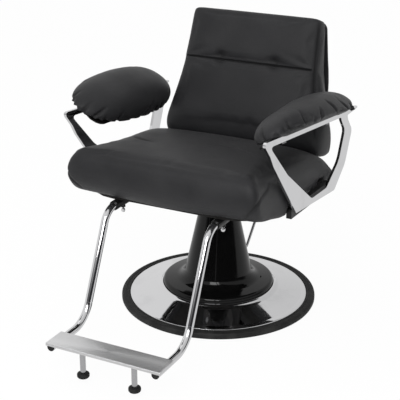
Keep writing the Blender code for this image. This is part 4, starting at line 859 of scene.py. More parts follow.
PLATE_LOW, PLATE_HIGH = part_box("footrest_plate")
FOLD = 0.0026
SHEET = 0.0015
TUBE_ROOM = TUBE_RADIUS + 0.0004
plate_form = block_form(PLATE_LOW, PLATE_HIGH)
underside = min(plate_form.faces, key=lambda face: face.calc_center_median().z)
bmesh.ops.delete(plate_form, geom=[underside], context="FACES_ONLY")
folds = [edge for edge in plate_form.edges if not edge.is_boundary]
bevel_edges(plate_form, folds, FOLD, 4)
for side, sign in SIDES:
    for reach in (TUBE_SPREAD - TUBE_ROOM, TUBE_SPREAD + TUBE_ROOM):
        cut = plate_form.verts[:] + plate_form.edges[:] + plate_form.faces[:]
        bmesh.ops.bisect_plane(plate_form, geom=cut, plane_co=(sign * reach, 0.0, 0.0),
                               plane_no=(1.0, 0.0, 0.0))
notch = []
for face in plate_form.faces:
    middle = face.calc_center_median()
    over_tube = abs(abs(middle.x) - TUBE_SPREAD) < TUBE_ROOM
    if over_tube and middle.y > PLATE_HIGH.y - FOLD / 2 and middle.z < PLATE_HIGH.z - FOLD:
        notch.append(face)
bmesh.ops.delete(plate_form, geom=notch, context="FACES")
bmesh.ops.recalc_face_normals(plate_form, faces=plate_form.faces[:])
foot_plate = make_piece("folded_foot_plate", plate_form, "footrest_plate")
thicken(foot_plate, SHEET)
keep_crisp(foot_plate)
print("foot plate", PLATE_LOW[:], PLATE_HIGH[:])

# %% [markdown]
# ## Arm rings
# Each arm is a ring cut from eight millimetre plate, chromed, with its edges broken. The ring is drawn as
# two closed wires, the edge and the opening. Their corners are rounded, the flat between them is filled,
# extruded to the plate's thickness, and the sharp rims are beveled. Two tabs welded to the rail carry the
# arm pad.

# %% Draw a ring
ARM_TIP_FRONT = -0.366
ARM_TIP_REAR = 0.275
RAIL_FRONT = 0.243
RAIL_REAR = 0.183
ARM_PLATE = 0.008
RIM_BREAK = 0.0010
SEAT_FRAME_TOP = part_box("seat_frame")[1].z


def rail_height(along):
    """Height of the rail's top edge above the seat frame."""
    share = (along - ARM_TIP_FRONT) / (ARM_TIP_REAR - ARM_TIP_FRONT)
    return RAIL_FRONT + (RAIL_REAR - RAIL_FRONT) * share


rear_low = rail_height(ARM_TIP_REAR) - 0.006
RAIL_DEPTH = 0.016
OPENING_FRONT = -0.326
OPENING_REAR = 0.149
RING_EDGE = [(-0.324, 0.196, 0.030), (-0.304, 0.164, 0.030), (-0.149, -0.019, 0.008),
             (0.122, -0.039, 0.015), (0.196, 0.022, 0.060), (0.240, 0.118, 0.020), (0.204, 0.160, 0.015),
             (0.200, rear_low - 0.004, 0.003), (ARM_TIP_REAR, rear_low, 0.001),
             (ARM_TIP_REAR, rail_height(ARM_TIP_REAR), 0.001),
             (ARM_TIP_FRONT, rail_height(ARM_TIP_FRONT), 0.010)]
RING_OPENING = [(-0.294, 0.192, 0.030), (-0.213, 0.113, 0.080), (-0.045, -0.010, 0.030),
                (0.060, -0.012, 0.015), (0.146, 0.046, 0.060), (0.184, 0.132, 0.020), (0.154, 0.168, 0.012),
                (OPENING_REAR, rail_height(OPENING_REAR) - RAIL_DEPTH, 0.004),
                (OPENING_FRONT, rail_height(OPENING_FRONT) - RAIL_DEPTH, 0.008)]


def draw_loop(form, corners):
    """Draw a closed wire (along, up, rounding) in the YZ plane and round its corners."""
    verts = [form.verts.new((0.0, along, up)) for along, up, rounding in corners]
    for start, end in zip(verts, verts[1:] + verts[:1]):
        form.edges.new((start, end))
    for vert, (along, up, rounding) in zip(verts, corners):
        segments = 2 if rounding < 0.002 else 4 if rounding < 0.006 else 10
        round_corner(form, vert, rounding, segments)


def ring_form():
    """The flat ring with its rims broken, in the plane of the arm."""
    form = bmesh.new()
    draw_loop(form, RING_EDGE)
    draw_loop(form, RING_OPENING)
    bmesh.ops.triangle_fill(form, use_beauty=True, use_dissolve=False, edges=form.edges[:])
    grown = bmesh.ops.extrude_face_region(form, geom=form.faces[:], use_keep_orig=True)["geom"]
    far_face = [item for item in grown if isinstance(item, bmesh.types.BMVert)]
    bmesh.ops.translate(form, vec=(ARM_PLATE, 0.0, 0.0), verts=far_face)
    bmesh.ops.translate(form, vec=(-ARM_PLATE / 2, 0.0, 0.0), verts=form.verts[:])
    bmesh.ops.recalc_face_normals(form, faces=form.faces[:])
    rims = [edge for edge in form.edges if edge.calc_face_angle(0.0) > math.radians(60)
            and abs(edge.verts[0].co.x - edge.verts[1].co.x) < ARM_PLATE / 2]
    bevel_edges(form, rims, RIM_BREAK, 3, clamp_overlap=True)
    return form


print("ring drawn, rear end at", rear_low)

# %% Place the rings and their tabs
ARM_OFFSET = 0.315
ARM_SPLAY = math.radians(2)
PAD_ROLL = math.radians(30)
PAD_CENTRE = -0.056
PAD_SINK = 0.0104
TAB_PLACES = (-0.145, 0.145)
TAB_SPAN = (0.0090, 0.042)
TAB_HALF = 0.018
TAB_LOW = -0.0043
TAB_HIGH = -0.0003
TAB_CORNER = 0.006
rail_slope = math.atan2(RAIL_REAR - RAIL_FRONT, ARM_TIP_REAR - ARM_TIP_FRONT)


def arm_place(sign):
    """The frame of an arm ring, on its middle plane at the height of the seat frame's top."""
    splay = Matrix.Rotation(-sign * ARM_SPLAY, 4, "Z")
    return Matrix.Translation((sign * ARM_OFFSET, 0.0, SEAT_FRAME_TOP)) @ splay


def pad_place(sign):
    """The frame of an arm pad, rolled inwards on the rail."""
    lean = Matrix.Rotation(rail_slope, 4, "X") @ Matrix.Rotation(-sign * PAD_ROLL, 4, "Y")
    on_rail = Matrix.Translation((0.0, PAD_CENTRE, rail_height(PAD_CENTRE)))
    return arm_place(sign) @ on_rail @ lean @ Matrix.Translation((0.0, 0.0, -PAD_SINK))


for side, sign in SIDES:
    form = ring_form()
    bmesh.ops.transform(form, matrix=arm_place(sign), verts=form.verts[:])
    for along in TAB_PLACES:
        near, far = sorted(-sign * reach for reach in TAB_SPAN)
        tab = block_form((near, along - TAB_HALF, TAB_LOW), (far, along + TAB_HALF, TAB_HIGH))
        upright = [edge for edge in tab.edges if abs(edge.verts[0].co.z - edge.verts[1].co.z) > 0.003]
        bevel_edges(tab, upright, TAB_CORNER, 5)
        bmesh.ops.transform(tab, matrix=pad_place(sign), verts=tab.verts[:])
        add_form(form, tab)
    ring = make_piece(f"arm_ring_{side}", form, f"arm_frame_{side}")
    keep_crisp(ring)

# %% [markdown]
# ## Pump lever
# The lever is a thin bent rod with an eye inside the column and a rubber pedal at its far end. The pedal
# gets a few rings so that a shoe doesn't slip.

# %% Lever and pedal
LEVER_RADIUS = 0.005
LEVER_PIVOT = (0.0, 0.060, 0.094)
LEVER_START = 0.007
LEVER_FLAT = 0.110
LEVER_CLIMB = 0.123
LEVER_TAIL = 0.105
LEVER_BEND = 0.030
CLIMB_RISE = math.radians(53)
TAIL_RISE = math.radians(15)
EYE_RADIUS = 0.010
EYE_BORE = 0.0044
EYE_HALF = 0.006
lever_frame = Matrix.Rotation(LEVER_TURN, 4, "Z") @ Matrix.Translation(LEVER_PIVOT)
steep = (LEVER_FLAT + LEVER_CLIMB * math.cos(CLIMB_RISE), LEVER_CLIMB * math.sin(CLIMB_RISE))
tail = (steep[0] + LEVER_TAIL * math.cos(TAIL_RISE), steep[1] + LEVER_TAIL * math.sin(TAIL_RISE))
lever_route = round_route([(LEVER_START, 0.0, 0.0), (LEVER_FLAT, 0.0, LEVER_BEND), (*steep, LEVER_BEND),
                           (*tail, 0.0)])
lever_form = tube_form([tuple(point) for point in lever_route], LEVER_RADIUS)
across = Matrix.Rotation(math.pi / 2, 4, "Y")
eye_form = bmesh.new()
section_wire(eye_form, [(EYE_BORE, -EYE_HALF, 0.0), (EYE_RADIUS, -EYE_HALF, 0.001),
                        (EYE_RADIUS, EYE_HALF, 0.001), (EYE_BORE, EYE_HALF, 0.0)], closed=True)
spin_wire(eye_form, 48)
bmesh.ops.transform(eye_form, matrix=across, verts=eye_form.verts[:])
add_form(lever_form, eye_form)
bmesh.ops.transform(lever_form, matrix=lever_frame, verts=lever_form.verts[:])
make_piece("bent_lever", lever_form, "pump_lever")

PEDAL_RADIUS = 0.014
PEDAL_LENGTH = 0.075
PEDAL_BORE = 0.0053
PEDAL_WALL = 0.006
PEDAL_GAP = 0.0003
PEDAL_RINGS = 7
RING_START = 0.012
RING_STEP = 0.008
RING_ROUND = 0.0008
RING_STEPS = ((0.0, PEDAL_RADIUS), (0.0012, PEDAL_RADIUS - 0.0014), (0.0028, PEDAL_RADIUS - 0.0014),
              (0.004, PEDAL_RADIUS))
pedal_corners = [(PEDAL_BORE, 0.0, 0.0), (PEDAL_RADIUS, 0.0, 0.003)]
for ring in range(PEDAL_RINGS):
    start = RING_START + RING_STEP * ring
    pedal_corners += [(radius, start + further, RING_ROUND) for further, radius in RING_STEPS]
pedal_corners += [(PEDAL_RADIUS, PEDAL_LENGTH, 0.005), (0.0, PEDAL_LENGTH, 0.0),
                  (0.0, PEDAL_LENGTH - PEDAL_WALL, 0.0), (PEDAL_BORE, PEDAL_LENGTH - PEDAL_WALL, 0.0)]
tail_run = Vector((0.0, math.cos(TAIL_RISE), math.sin(TAIL_RISE)))
pedal_start = Vector((0.0, *tail)) - tail_run * (PEDAL_LENGTH - PEDAL_WALL - PEDAL_GAP)
pedal_turn = tail_run.to_track_quat("Z", "Y").to_matrix().to_4x4()
turn_piece("ringed_pedal", "lever_pedal", pedal_corners, closed=True, steps=48,
           where=lever_frame @ Matrix.Translation(pedal_start) @ pedal_turn)

# %% [markdown]
# ## Cushions
# The seat, the back and both arm pads are foam under a sewn hide. A cushion starts as a coarse cage, like a
# paper pattern folded into a box. Subdivision rounds it, a voxel remesh gives it an even skin, and a cloth
# simulation then blows that skin up from inside, so it bulges between the places where it is held.
# Seams, tufts and creases are pressed in afterwards, because the remesh would lose them.

# %% Points of a mesh
def read_points(mesh):
    """Places of a mesh's points."""
    points = np.empty(3 * len(mesh.vertices))
    mesh.vertices.foreach_get("co", points)
    return points.reshape(-1, 3)


def read_normals(mesh):
    """Outward directions at a mesh's points."""
    normals = np.empty(3 * len(mesh.vertices))
    mesh.vertices.foreach_get("normal", normals)
    return normals.reshape(-1, 3)


def write_points(mesh, points):
    """Move a mesh's points."""
    mesh.vertices.foreach_set("co", points.ravel())
    mesh.update()


print("points can be read and moved")

# %% Cage and skin
def cushion_cage(columns, rows, layers, shape):
    """A closed box grid whose points a shape function puts in place."""
    form = bmesh.new()
    across = len(columns) - 1
    along = len(rows) - 1
    bmesh.ops.create_grid(form, x_segments=across, y_segments=along, size=0.5)
    for vert in form.verts:
        vert.co = (round((vert.co.x + 0.5) * across), round((vert.co.y + 0.5) * along), 0.0)
    skin = form.faces[:]
    for level in range(1, len(layers)):
        grown = bmesh.ops.extrude_face_region(form, geom=skin, use_keep_orig=True)["geom"]
        for vert in (item for item in grown if isinstance(item, bmesh.types.BMVert)):
            vert.co.z = level
        if level > 1:
            bmesh.ops.delete(form, geom=skin, context="FACES")
        skin = [item for item in grown if isinstance(item, bmesh.types.BMFace)]
    for vert in form.verts:
        column, row, layer = (round(value) for value in vert.co)
        vert.co = shape(columns[column], rows[row], layers[layer])
    form.normal_update()
    bmesh.ops.recalc_face_normals(form, faces=form.faces[:])
    return form


def split_faces(piece, rounds):
    """Let a modifier split a piece's faces, rounding it."""
    finer = piece.modifiers.new("finer", "SUBSURF")
    finer.levels = rounds
    finer.render_levels = rounds


def even_skin(piece, rounds, voxel):
    """Round a cage by subdivision and rebuild it as an even skin."""
    if rounds:
        split_faces(piece, rounds)
    even = piece.modifiers.new("even", "REMESH")
    even.mode = "VOXEL"
    even.voxel_size = voxel
    apply_modifiers(piece)


def refine(piece):
    """Split every face of a skin once, and start its record of painted shade in pressed grooves."""
    split_faces(piece, 1)
    apply_modifiers(piece)
    piece.data.shade_smooth()
    piece.data.attributes.new("groove_shade", "FLOAT", "POINT")


def split_near(piece, level, reach):
    """Split the faces of a skin once more close to a level, so that a fine seam can be pressed in."""
    form = bmesh.new()
    form.from_mesh(piece.data)
    close = [edge for edge in form.edges if all(abs(vert.co.z - level) < reach for vert in edge.verts)]
    bmesh.ops.subdivide_edges(form, edges=close, cuts=1, use_grid_fill=True)
    form.to_mesh(piece.data)
    form.free()
    piece.data.shade_smooth()


print("cages can be drawn")

# %% [markdown]
# ### Stuffing
# The simulation runs for twenty frames without gravity. Points on a board or along a seam are held. Every
# other point may travel only so far, so the cushion keeps the outline of the chair in the photograph.

# %% Stuff a cushion
STUFFING_FRAMES = 20
DRAW_IN = 0.0012
DRIFT = 0.0025
HOLD_REACH = 0.003
HIDE_CLOTH = {"quality": 5, "mass": 0.3, "tension_stiffness": 15.0, "compression_stiffness": 15.0,
              "shear_stiffness": 8.0, "bending_stiffness": 0.8, "use_pressure": True,
              "uniform_pressure_force": 4.0, "vertex_group_mass": "held"}


def spread_over(mesh, values, rounds):
    """Smooth vectors stored on a mesh's points by averaging each with its neighbours."""
    ends = np.empty(2 * len(mesh.edges), np.int64)
    mesh.edges.foreach_get("vertices", ends)
    first, second = ends.reshape(-1, 2).T
    count = len(values)
    links = np.bincount(first, minlength=count) + np.bincount(second, minlength=count)
    for _ in range(rounds):
        gathered = np.empty_like(values)
        for axis in range(3):
            gathered[:, axis] = np.bincount(first, values[second, axis], count)
            gathered[:, axis] += np.bincount(second, values[first, axis], count)
        values = 0.5 * values + 0.5 * gathered / links[:, None]
    return values


def stuff(piece, held, swell, slack):
    """Blow a skin up from inside; held points stay, and the others swell only so far."""
    mesh = piece.data
    outwards = read_normals(mesh)
    rest = read_points(mesh) - outwards * slack
    write_points(mesh, rest)
    gripped = held(rest)
    grip = piece.vertex_groups.new(name="held")
    grip.add([int(index) for index in np.flatnonzero(gripped)], 1.0, "REPLACE")
    cloth = piece.modifiers.new("stuffing", "CLOTH")
    for setting, value in HIDE_CLOTH.items():
        setattr(cloth.settings, setting, value)
    cloth.settings.effector_weights.gravity = 0.0
    cloth.point_cache.frame_start = 1
    cloth.point_cache.frame_end = STUFFING_FRAMES
    for moment in range(1, STUFFING_FRAMES + 1):
        scene.frame_set(moment)
    graph = bpy.context.evaluated_depsgraph_get()
    travel = read_points(piece.evaluated_get(graph).data) - rest
    piece.modifiers.clear()
    piece.vertex_groups.clear()
    scene.frame_set(1)
    gain = (travel * outwards).sum(axis=1)
    drift = travel - outwards * gain[:, None]
    drawn = np.where(gain > 0, swell * np.tanh(gain / swell), DRAW_IN * np.tanh(gain / DRAW_IN))
    drift_length = np.linalg.norm(drift, axis=1)
    drift *= (DRIFT * np.tanh(drift_length / DRIFT) / np.maximum(drift_length, 1e-9))[:, None]
    moved = spread_over(mesh, outwards * drawn[:, None] + drift, 3)
    moved[gripped] = 0.0
    write_points(mesh, rest + moved + outwards * slack * 0.5)
    print(piece.name, "points", len(rest), "swells by", float(gain.min()), "to", float(gain.max()))


print("stuffing helper ready")

# %% [markdown]
# ### Seams and creases
# A seam is a chain of points laid on the skin. Pressing moves the skin inwards along the chain, deepest on
# the line and fading to both sides, and notes how close each point is to it. The leather's finish paints
# the hide near black by that note, a painted shade in the groove. Each press below is named by its depth,
# its width, how much painted shade it lays in its groove, and the share of its length over which its ends
# run out.

# %% Press a line into a skin
LINE_SPACING = 0.0015
PRESS_REACH = 4


def lay_line(piece, points, spacing=LINE_SPACING):
    """Lay a chain of points on a piece's skin, at an even spacing."""
    bpy.context.view_layer.update()
    skin = BVHTree.FromObject(piece, bpy.context.evaluated_depsgraph_get())
    laid = []
    for start, end in zip(points, points[1:]):
        start = Vector(start)
        run = Vector(end) - start
        steps = max(1, round(run.length / spacing))
        for step in range(steps):
            laid.append(skin.find_nearest(start + run * step / steps)[0])
    laid.append(skin.find_nearest(Vector(points[-1]))[0])
    return np.array(laid)


def press_line(piece, line, depth, width, groove_shade=1.0, fade=0.0):
    """Press a laid line into a skin; fade is the share of its length over which its ends run out."""
    mesh = piece.data
    points = read_points(mesh)
    low = line.min(axis=0) - PRESS_REACH * width
    high = line.max(axis=0) + PRESS_REACH * width
    near = np.flatnonzero(np.all((points > low) & (points < high), axis=1))
    closeness = np.zeros(len(near))
    for index, spot in enumerate(line):
        strength = 1.0
        if fade:
            run = index / (len(line) - 1)
            strength = min(1.0, run / fade, (1 - run) / fade)
        away = ((points[near] - spot) ** 2).sum(axis=1)
        closeness = np.maximum(closeness, strength * np.exp(-away / width ** 2))
    points[near] -= read_normals(mesh)[near] * (depth * closeness)[:, None]
    write_points(mesh, points)
    # Note the painted shade that the leather shows in the pressed groove.
    noted = np.zeros(len(points), np.float32)
    mesh.attributes["groove_shade"].data.foreach_get("value", noted)
    noted[near] = np.maximum(noted[near], groove_shade * closeness)
    mesh.attributes["groove_shade"].data.foreach_set("value", noted)


STITCH_LENGTH = 0.0034
STITCH_THICKNESS = 0.0008


def sew_stitches(name, node, line):
    """A row of short stitches along a line laid at the usual spacing."""
    form = bmesh.new()
    for start, end in zip(line[1::3], line[3::3]):
        run = Vector(end) - Vector(start)
        turn = run.to_track_quat("X", "Z").to_matrix().to_4x4()
        size = Matrix.Diagonal((STITCH_LENGTH, STITCH_THICKNESS, STITCH_THICKNESS, 1.0))
        place = Matrix.Translation((Vector(start) + Vector(end)) / 2) @ turn @ size
        bmesh.ops.create_icosphere(form, subdivisions=1, radius=0.5, matrix=place)
    return make_piece(name, form, node, sewing_thread)


print("lines can be pressed")

# %% [markdown]
# ### Seat
# The seat is a thick cushion with a full rounded front that slopes down towards the back. It lies flat on
# its board, and its sides hang a little lower, except where they rest on the frame's cross bars and on the
# arm brackets. Its front panel meets the side panels in a soft seam at each corner, and two long creases
# cross the top where the hide gives under a sitter.

# %% Seat cage
SEAT_HALF = 0.299
SEAT_FRONT = -0.390
SEAT_REAR = 0.197
SEAT_GAP = 0.0003
SEAT_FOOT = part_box("seat_board")[1].z + SEAT_GAP
SEAT_FRONT_HEIGHT = 0.134
SEAT_FALL = 0.068
SEAT_CROWN = 0.012
SEAT_FLARE = 0.007
SEAT_FOOT_CORNER = 0.10
SEAT_CORNER_EASE = 0.07
SEAT_TOP_DRAW = 0.022
SEAT_SIDE_DRAW = 0.002
SEAT_FRONT_DRAW = 0.046
SEAT_REAR_DRAW = 0.010
SEAT_ROLL = 0.92
SEAT_ROLL_EASE = 0.24
SEAT_COLUMNS = [-1.0, -0.82, -0.55, -0.2, 0.2, 0.55, 0.82, 1.0]
SEAT_ROWS = [-1.0, -0.85, -0.6, -0.3, 0.0, 0.3, 0.6, 0.85, 1.0]
SEAT_LAYERS = [-1.0, -0.75, -0.2, 0.4, 1.0]
SEAT_VOXEL = 0.0065
seat_middle = (SEAT_FRONT + SEAT_REAR) / 2
seat_half_depth = (SEAT_REAR - SEAT_FRONT) / 2


def seat_shape(across, along, up):
    """Place a cage point of the seat."""
    lift = (up + 1) / 2
    corner = SEAT_FOOT_CORNER - SEAT_CORNER_EASE * min(1.0, 2 * lift)
    edge = max(abs(across), abs(along)) ** 4
    top_draw = SEAT_TOP_DRAW * max(0.0, 2 * lift - 1) ** 2 * edge
    foot_draw = max(0.0, 1 - 2 * lift) ** 2 * edge
    x = across * math.sqrt(1 - corner * along * along / 2)
    x *= SEAT_HALF + SEAT_FLARE * along ** 4 - top_draw - SEAT_SIDE_DRAW * foot_draw
    end_draw = SEAT_FRONT_DRAW if along < 0 else SEAT_REAR_DRAW
    y = along * math.sqrt(1 - corner * across * across / 2)
    y *= seat_half_depth - top_draw - end_draw * foot_draw
    rise = SEAT_FRONT_HEIGHT - SEAT_FALL * ((along + 1) / 2) ** 0.8
    rise += SEAT_CROWN * (1 - across ** 4) * (1 - along ** 4)
    rise *= 1 - (SEAT_ROLL - SEAT_ROLL_EASE * across ** 8) * max(0.0, 2 * along - 1) ** 2
    return x, seat_middle + y, SEAT_FOOT + rise * lift


seat_cage = cushion_cage(SEAT_COLUMNS, SEAT_ROWS, SEAT_LAYERS, seat_shape)
seat = make_piece("stuffed_seat", seat_cage, "seat_cushion")
even_skin(seat, 3, SEAT_VOXEL)


def ease(values, start, end):
    """Smooth steps from 0 at the start to 1 at the end, for one value or many."""
    share = np.clip((values - start) / (end - start), 0.0, 1.0)
    return share * share * (3 - 2 * share)


HANG_PLACES = (-0.40, -0.33, -0.27, -0.21, -0.175, -0.126, -0.120, -0.080, -0.074,
               0.054, 0.060, 0.100, 0.106, 0.155, 0.20)
HANG_DROPS = (0.0, 0.0, 0.013, 0.029, 0.034, 0.032, 0.0072, 0.0072, 0.030,
              0.030, 0.0072, 0.0072, 0.034, 0.032, 0.018)
HANG_SIDES = (0.238, 0.282)
HANG_HEIGHTS = (0.462, 0.415)
BRACKET_DROP = 0.0126
BRACKET_REACH = (-0.168, 0.110)
BRACKET_FACE = 0.2935
BRACKET_SPLAY = 0.035
seat_points = read_points(seat.data)
across, along, up = seat_points.T
beside_bracket = (along > BRACKET_REACH[0]) & (along < BRACKET_REACH[1])
over_bracket = beside_bracket & (np.abs(across) > BRACKET_FACE + BRACKET_SPLAY * along)
hang = np.interp(along, HANG_PLACES, HANG_DROPS)
hang[over_bracket] = np.minimum(hang[over_bracket], BRACKET_DROP)
hang *= ease(np.abs(across), *HANG_SIDES)
foot = SEAT_FOOT - hang
seat_points[:, 2] = np.maximum(up - hang * ease(up, *HANG_HEIGHTS), foot)
write_points(seat.data, seat_points)
print("seat skin", len(seat_points), "points, lowest", seat_points[:, 2].min())

# %% Stuff and sew the seat
CORNER_SEAM = [(0.2842, -0.268, 0.509), (0.2914, -0.297, 0.497), (0.2958, -0.3445, 0.4915),
               (0.2918, -0.3725, 0.478), (0.2756, -0.3736, 0.456), (0.2589, -0.3617, 0.435),
               (0.245, -0.345, 0.413)]
LEFT_CREASE = [(-0.262, -0.118, 0.505), (-0.2163, -0.1354, 0.516), (-0.1785, -0.1589, 0.521),
               (-0.1118, -0.188, 0.526)]
RIGHT_CREASE = [(0.015, -0.112, 0.518), (0.086, -0.0909, 0.515), (0.136, -0.1096, 0.5165),
                (0.2055, -0.1467, 0.518)]
# The third value of each press is the painted shade it lays in its groove.
SOFT_SEAM = (0.0030, 0.0050, 0.6, 0.20)
SHALLOW_CREASE = (0.0030, 0.0070, 0.25, 0.35)
stuff(seat, lambda points: points[:, 2] < SEAT_FOOT + HOLD_REACH, swell=0.010, slack=0.004)
refine(seat)
for side, sign in SIDES:
    seam = [(sign * across, along, up) for across, along, up in CORNER_SEAM]
    press_line(seat, lay_line(seat, seam), *SOFT_SEAM)
for crease in (LEFT_CREASE, RIGHT_CREASE):
    press_line(seat, lay_line(seat, crease), *SHALLOW_CREASE)
print("seat done")

# %% [markdown]
# ### Back
# The back leans away from the sitter and is sewn from two front panels that meet in one straight seam. Two
# tufts pull the upper panel in just above that seam, and the sides are closed by narrow gussets. Its foot
# rolls under towards the seat.

# %% Back cage
BACK_SEAM = 0.298
BACK_TOP = 0.448
BACK_LOW = 0.022
FLARE_LOW = 0.090
ROLL_TOP = 0.135
BACK_REAR = 0.291
SEAM_FACE = 0.188
BACK_LEAN = 0.336
BACK_BELLY = 0.014
ROLL_DEPTH = 0.150
SEAM_WIDTH = 0.226
TOP_TAPER = 0.010
FLARE_WIDTH = 0.269
FLARE_GAIN = 0.043
FOOT_TUCK = 0.012
EDGE_INSET = 0.004
BACK_CROWN = 0.006
TOP_FALL = 0.020
REAR_DRAW = 0.040
SEAM_BAND = 0.014
TOP_BAND = 0.024
BACK_LAYERS = [0.0, 0.1, 0.5, 1.0]
BACK_VOXEL = 0.0055
TUFT_SPREAD = 0.090
TUFT_HEIGHT = BACK_SEAM + 0.006


def back_face(height):
    """Place of the back's front face at a height above the seat frame."""
    face = SEAM_FACE + BACK_LEAN * (height - BACK_SEAM)
    face -= BACK_BELLY * max(0.0, (BACK_SEAM - height) / (BACK_SEAM - FLARE_LOW)) ** 2
    if height < ROLL_TOP:
        share = min(1.0, (ROLL_TOP - height) / (ROLL_TOP - BACK_LOW))
        face += ROLL_DEPTH * (1 - math.sqrt(1 - share * share))
    return face


def back_half_width(height):
    """Half width of the back at a height above the seat frame."""
    if height >= BACK_SEAM:
        return SEAM_WIDTH - TOP_TAPER * (height - BACK_SEAM) / (BACK_TOP - BACK_SEAM)
    if height >= FLARE_LOW:
        return SEAM_WIDTH + FLARE_GAIN * ((BACK_SEAM - height) / (BACK_SEAM - FLARE_LOW)) ** 1.3
    share = (FLARE_LOW - height) / (FLARE_LOW - BACK_LOW)
    return FLARE_WIDTH - FOOT_TUCK * (1 - math.sqrt(1 - min(1.0, share * share)))


def back_shape(across, height, forward_share):
    """Place a cage point of the back, from its rear face (0) to its front face (1)."""
    inset = EDGE_INSET
    if 0 < forward_share < 1:
        inset *= 1 - math.sin(math.pi * forward_share)
    span = max(0.0, (height - FLARE_LOW) / (BACK_TOP - FLARE_LOW))
    face = back_face(height) - BACK_CROWN * (1 - across ** 4) * math.sin(math.pi * min(1.0, span))
    fall = TOP_FALL * (1 - forward_share) * span
    rear = BACK_REAR - REAR_DRAW * across ** 8 * (1 - span)
    y = rear + (face - rear) * forward_share
    return across * (back_half_width(height) - inset), y, SEAT_FRAME_TOP + height - fall


roll = ROLL_TOP - BACK_LOW
panel = BACK_SEAM - ROLL_TOP
back_rows = [BACK_LOW, BACK_LOW + roll / 8, BACK_LOW + roll / 3, BACK_LOW + roll * 2 / 3, ROLL_TOP,
             ROLL_TOP + panel / 3, ROLL_TOP + panel * 2 / 3, BACK_SEAM - SEAM_BAND, BACK_SEAM,
             BACK_SEAM + SEAM_BAND, BACK_TOP - TOP_BAND, BACK_TOP]
back_columns = [-1.0, -0.768, -0.536, -0.409, -0.282, 0.0, 0.282, 0.409, 0.536, 0.768, 1.0]
back_cage = cushion_cage(back_columns, back_rows, BACK_LAYERS, back_shape)
back = make_piece("stuffed_back", back_cage, "back_cushion")
even_skin(back, 3, BACK_VOXEL)
print("back skin", len(back.data.vertices), "points")

# %% Stuff the back
SEAM_UP = SEAT_FRAME_TOP + BACK_SEAM
TUFT_UP = SEAT_FRAME_TOP + TUFT_HEIGHT
BOARD_HOLD = 0.008
FRONT_DEPTH = 0.050
SEAM_HOLD = 0.004
TUFT_HOLD = 0.008


def back_held(points):
    """Points of the back on its board, along its seam or at a tuft."""
    on_board = points[:, 1] > BACK_REAR - BOARD_HOLD
    front = points[:, 1] < BACK_REAR - FRONT_DEPTH
    in_seam = front & (np.abs(points[:, 2] - SEAM_UP) < SEAM_HOLD)
    to_tuft = np.hypot(np.abs(points[:, 0]) - TUFT_SPREAD, points[:, 2] - TUFT_UP)
    return on_board | in_seam | (front & (to_tuft < TUFT_HOLD))


stuff(back, back_held, swell=0.006, slack=0.003)
refine(back)
split_near(back, SEAM_UP, reach=0.010)
print("back stuffed,", len(back.data.vertices), "points")

# %% Sew the back
SEAM_HALF = 0.216
TUFT_ENDS = (0.004, -0.008)
# The third value of each press is the painted shade it lays in its groove.
DEEP_TUFT = (0.0070, 0.0170, 0.35)
SHARP_SEAM = (0.0050, 0.0026, 1.0, 0.02)
GUSSET_SEAM = (0.0022, 0.0032, 0.7, 0.05)
GUSSET_HEIGHTS = (0.110, 0.180, 0.250, BACK_SEAM, 0.350, 0.400, 0.425)
GUSSET_SETBACK = 0.008
STITCH_ROWS = (("upper", 0.0055), ("lower", -0.0055))
seam_face = back_face(BACK_SEAM)


def along_seam(offset):
    """A line on the back, parallel to its seam."""
    return lay_line(back, [(end, seam_face, SEAM_UP + offset) for end in (-SEAM_HALF, SEAM_HALF)])


for side, sign in SIDES:
    tuft = [(sign * TUFT_SPREAD, seam_face, TUFT_UP + end) for end in TUFT_ENDS]
    press_line(back, lay_line(back, tuft), *DEEP_TUFT)
press_line(back, along_seam(0.0), *SHARP_SEAM)
for side, sign in SIDES:
    gusset = []
    for height in GUSSET_HEIGHTS:
        edge = sign * (back_half_width(height) - EDGE_INSET)
        gusset.append((edge, back_face(height) + GUSSET_SETBACK, SEAT_FRAME_TOP + height))
    press_line(back, lay_line(back, gusset), *GUSSET_SEAM)
for row, offset in STITCH_ROWS:
    sew_stitches(f"back_stitches_{row}", "back_cushion", along_seam(offset))
print("back sewn at", SEAM_UP)

# %% [markdown]
# Behind the cushion a board is covered with the same hide. Its outline follows the cushion's, a little
# smaller, and its edges are rounded. The two bars of the back are bolted to it, so it stays flat.

# %% Covered board
PANEL_LOW = 0.056
PANEL_TOP = 0.421
PANEL_INSET = (0.046, 0.005)
PANEL_SPREAD = 1.8
PANEL_CORNER = 0.022
PANEL_EDGE = 0.0045
PANEL_STEPS = 10
board_front, board_rear = (corner.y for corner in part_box("back_board"))
heights = [PANEL_LOW + (PANEL_TOP - PANEL_LOW) * step / PANEL_STEPS for step in range(PANEL_STEPS + 1)]
board_form = bmesh.new()
outline = []
for height in heights:
    share = (height - PANEL_LOW) / (PANEL_TOP - PANEL_LOW)
    inset = PANEL_INSET[0] + (PANEL_INSET[1] - PANEL_INSET[0]) * min(1.0, PANEL_SPREAD * share)
    outline.append((back_half_width(height) - inset, SEAT_FRAME_TOP + height))
outline += [(-along, up) for along, up in reversed(outline)]
rim = [board_form.verts.new((along, board_front, up)) for along, up in outline]
board_form.faces.new(rim)
corners = [rim[0], rim[PANEL_STEPS], rim[PANEL_STEPS + 1], rim[-1]]
bmesh.ops.bevel(board_form, geom=corners, offset=PANEL_CORNER, segments=6, profile=0.5, affect="VERTICES",
                material=-1)
grown = bmesh.ops.extrude_face_region(board_form, geom=board_form.faces[:], use_keep_orig=True)["geom"]
rear_verts = [item for item in grown if isinstance(item, bmesh.types.BMVert)]
bmesh.ops.translate(board_form, vec=(0.0, board_rear - board_front, 0.0), verts=rear_verts)
rear_edges = [item for item in grown if isinstance(item, bmesh.types.BMEdge)]
bmesh.ops.recalc_face_normals(board_form, faces=board_form.faces[:])
bevel_edges(board_form, rear_edges, PANEL_EDGE, 4)
covered_board = make_piece("covered_back_board", board_form, "back_board")
covered_board.data.materials[0] = black_hide
print("covered board", len(covered_board.data.polygons), "faces")

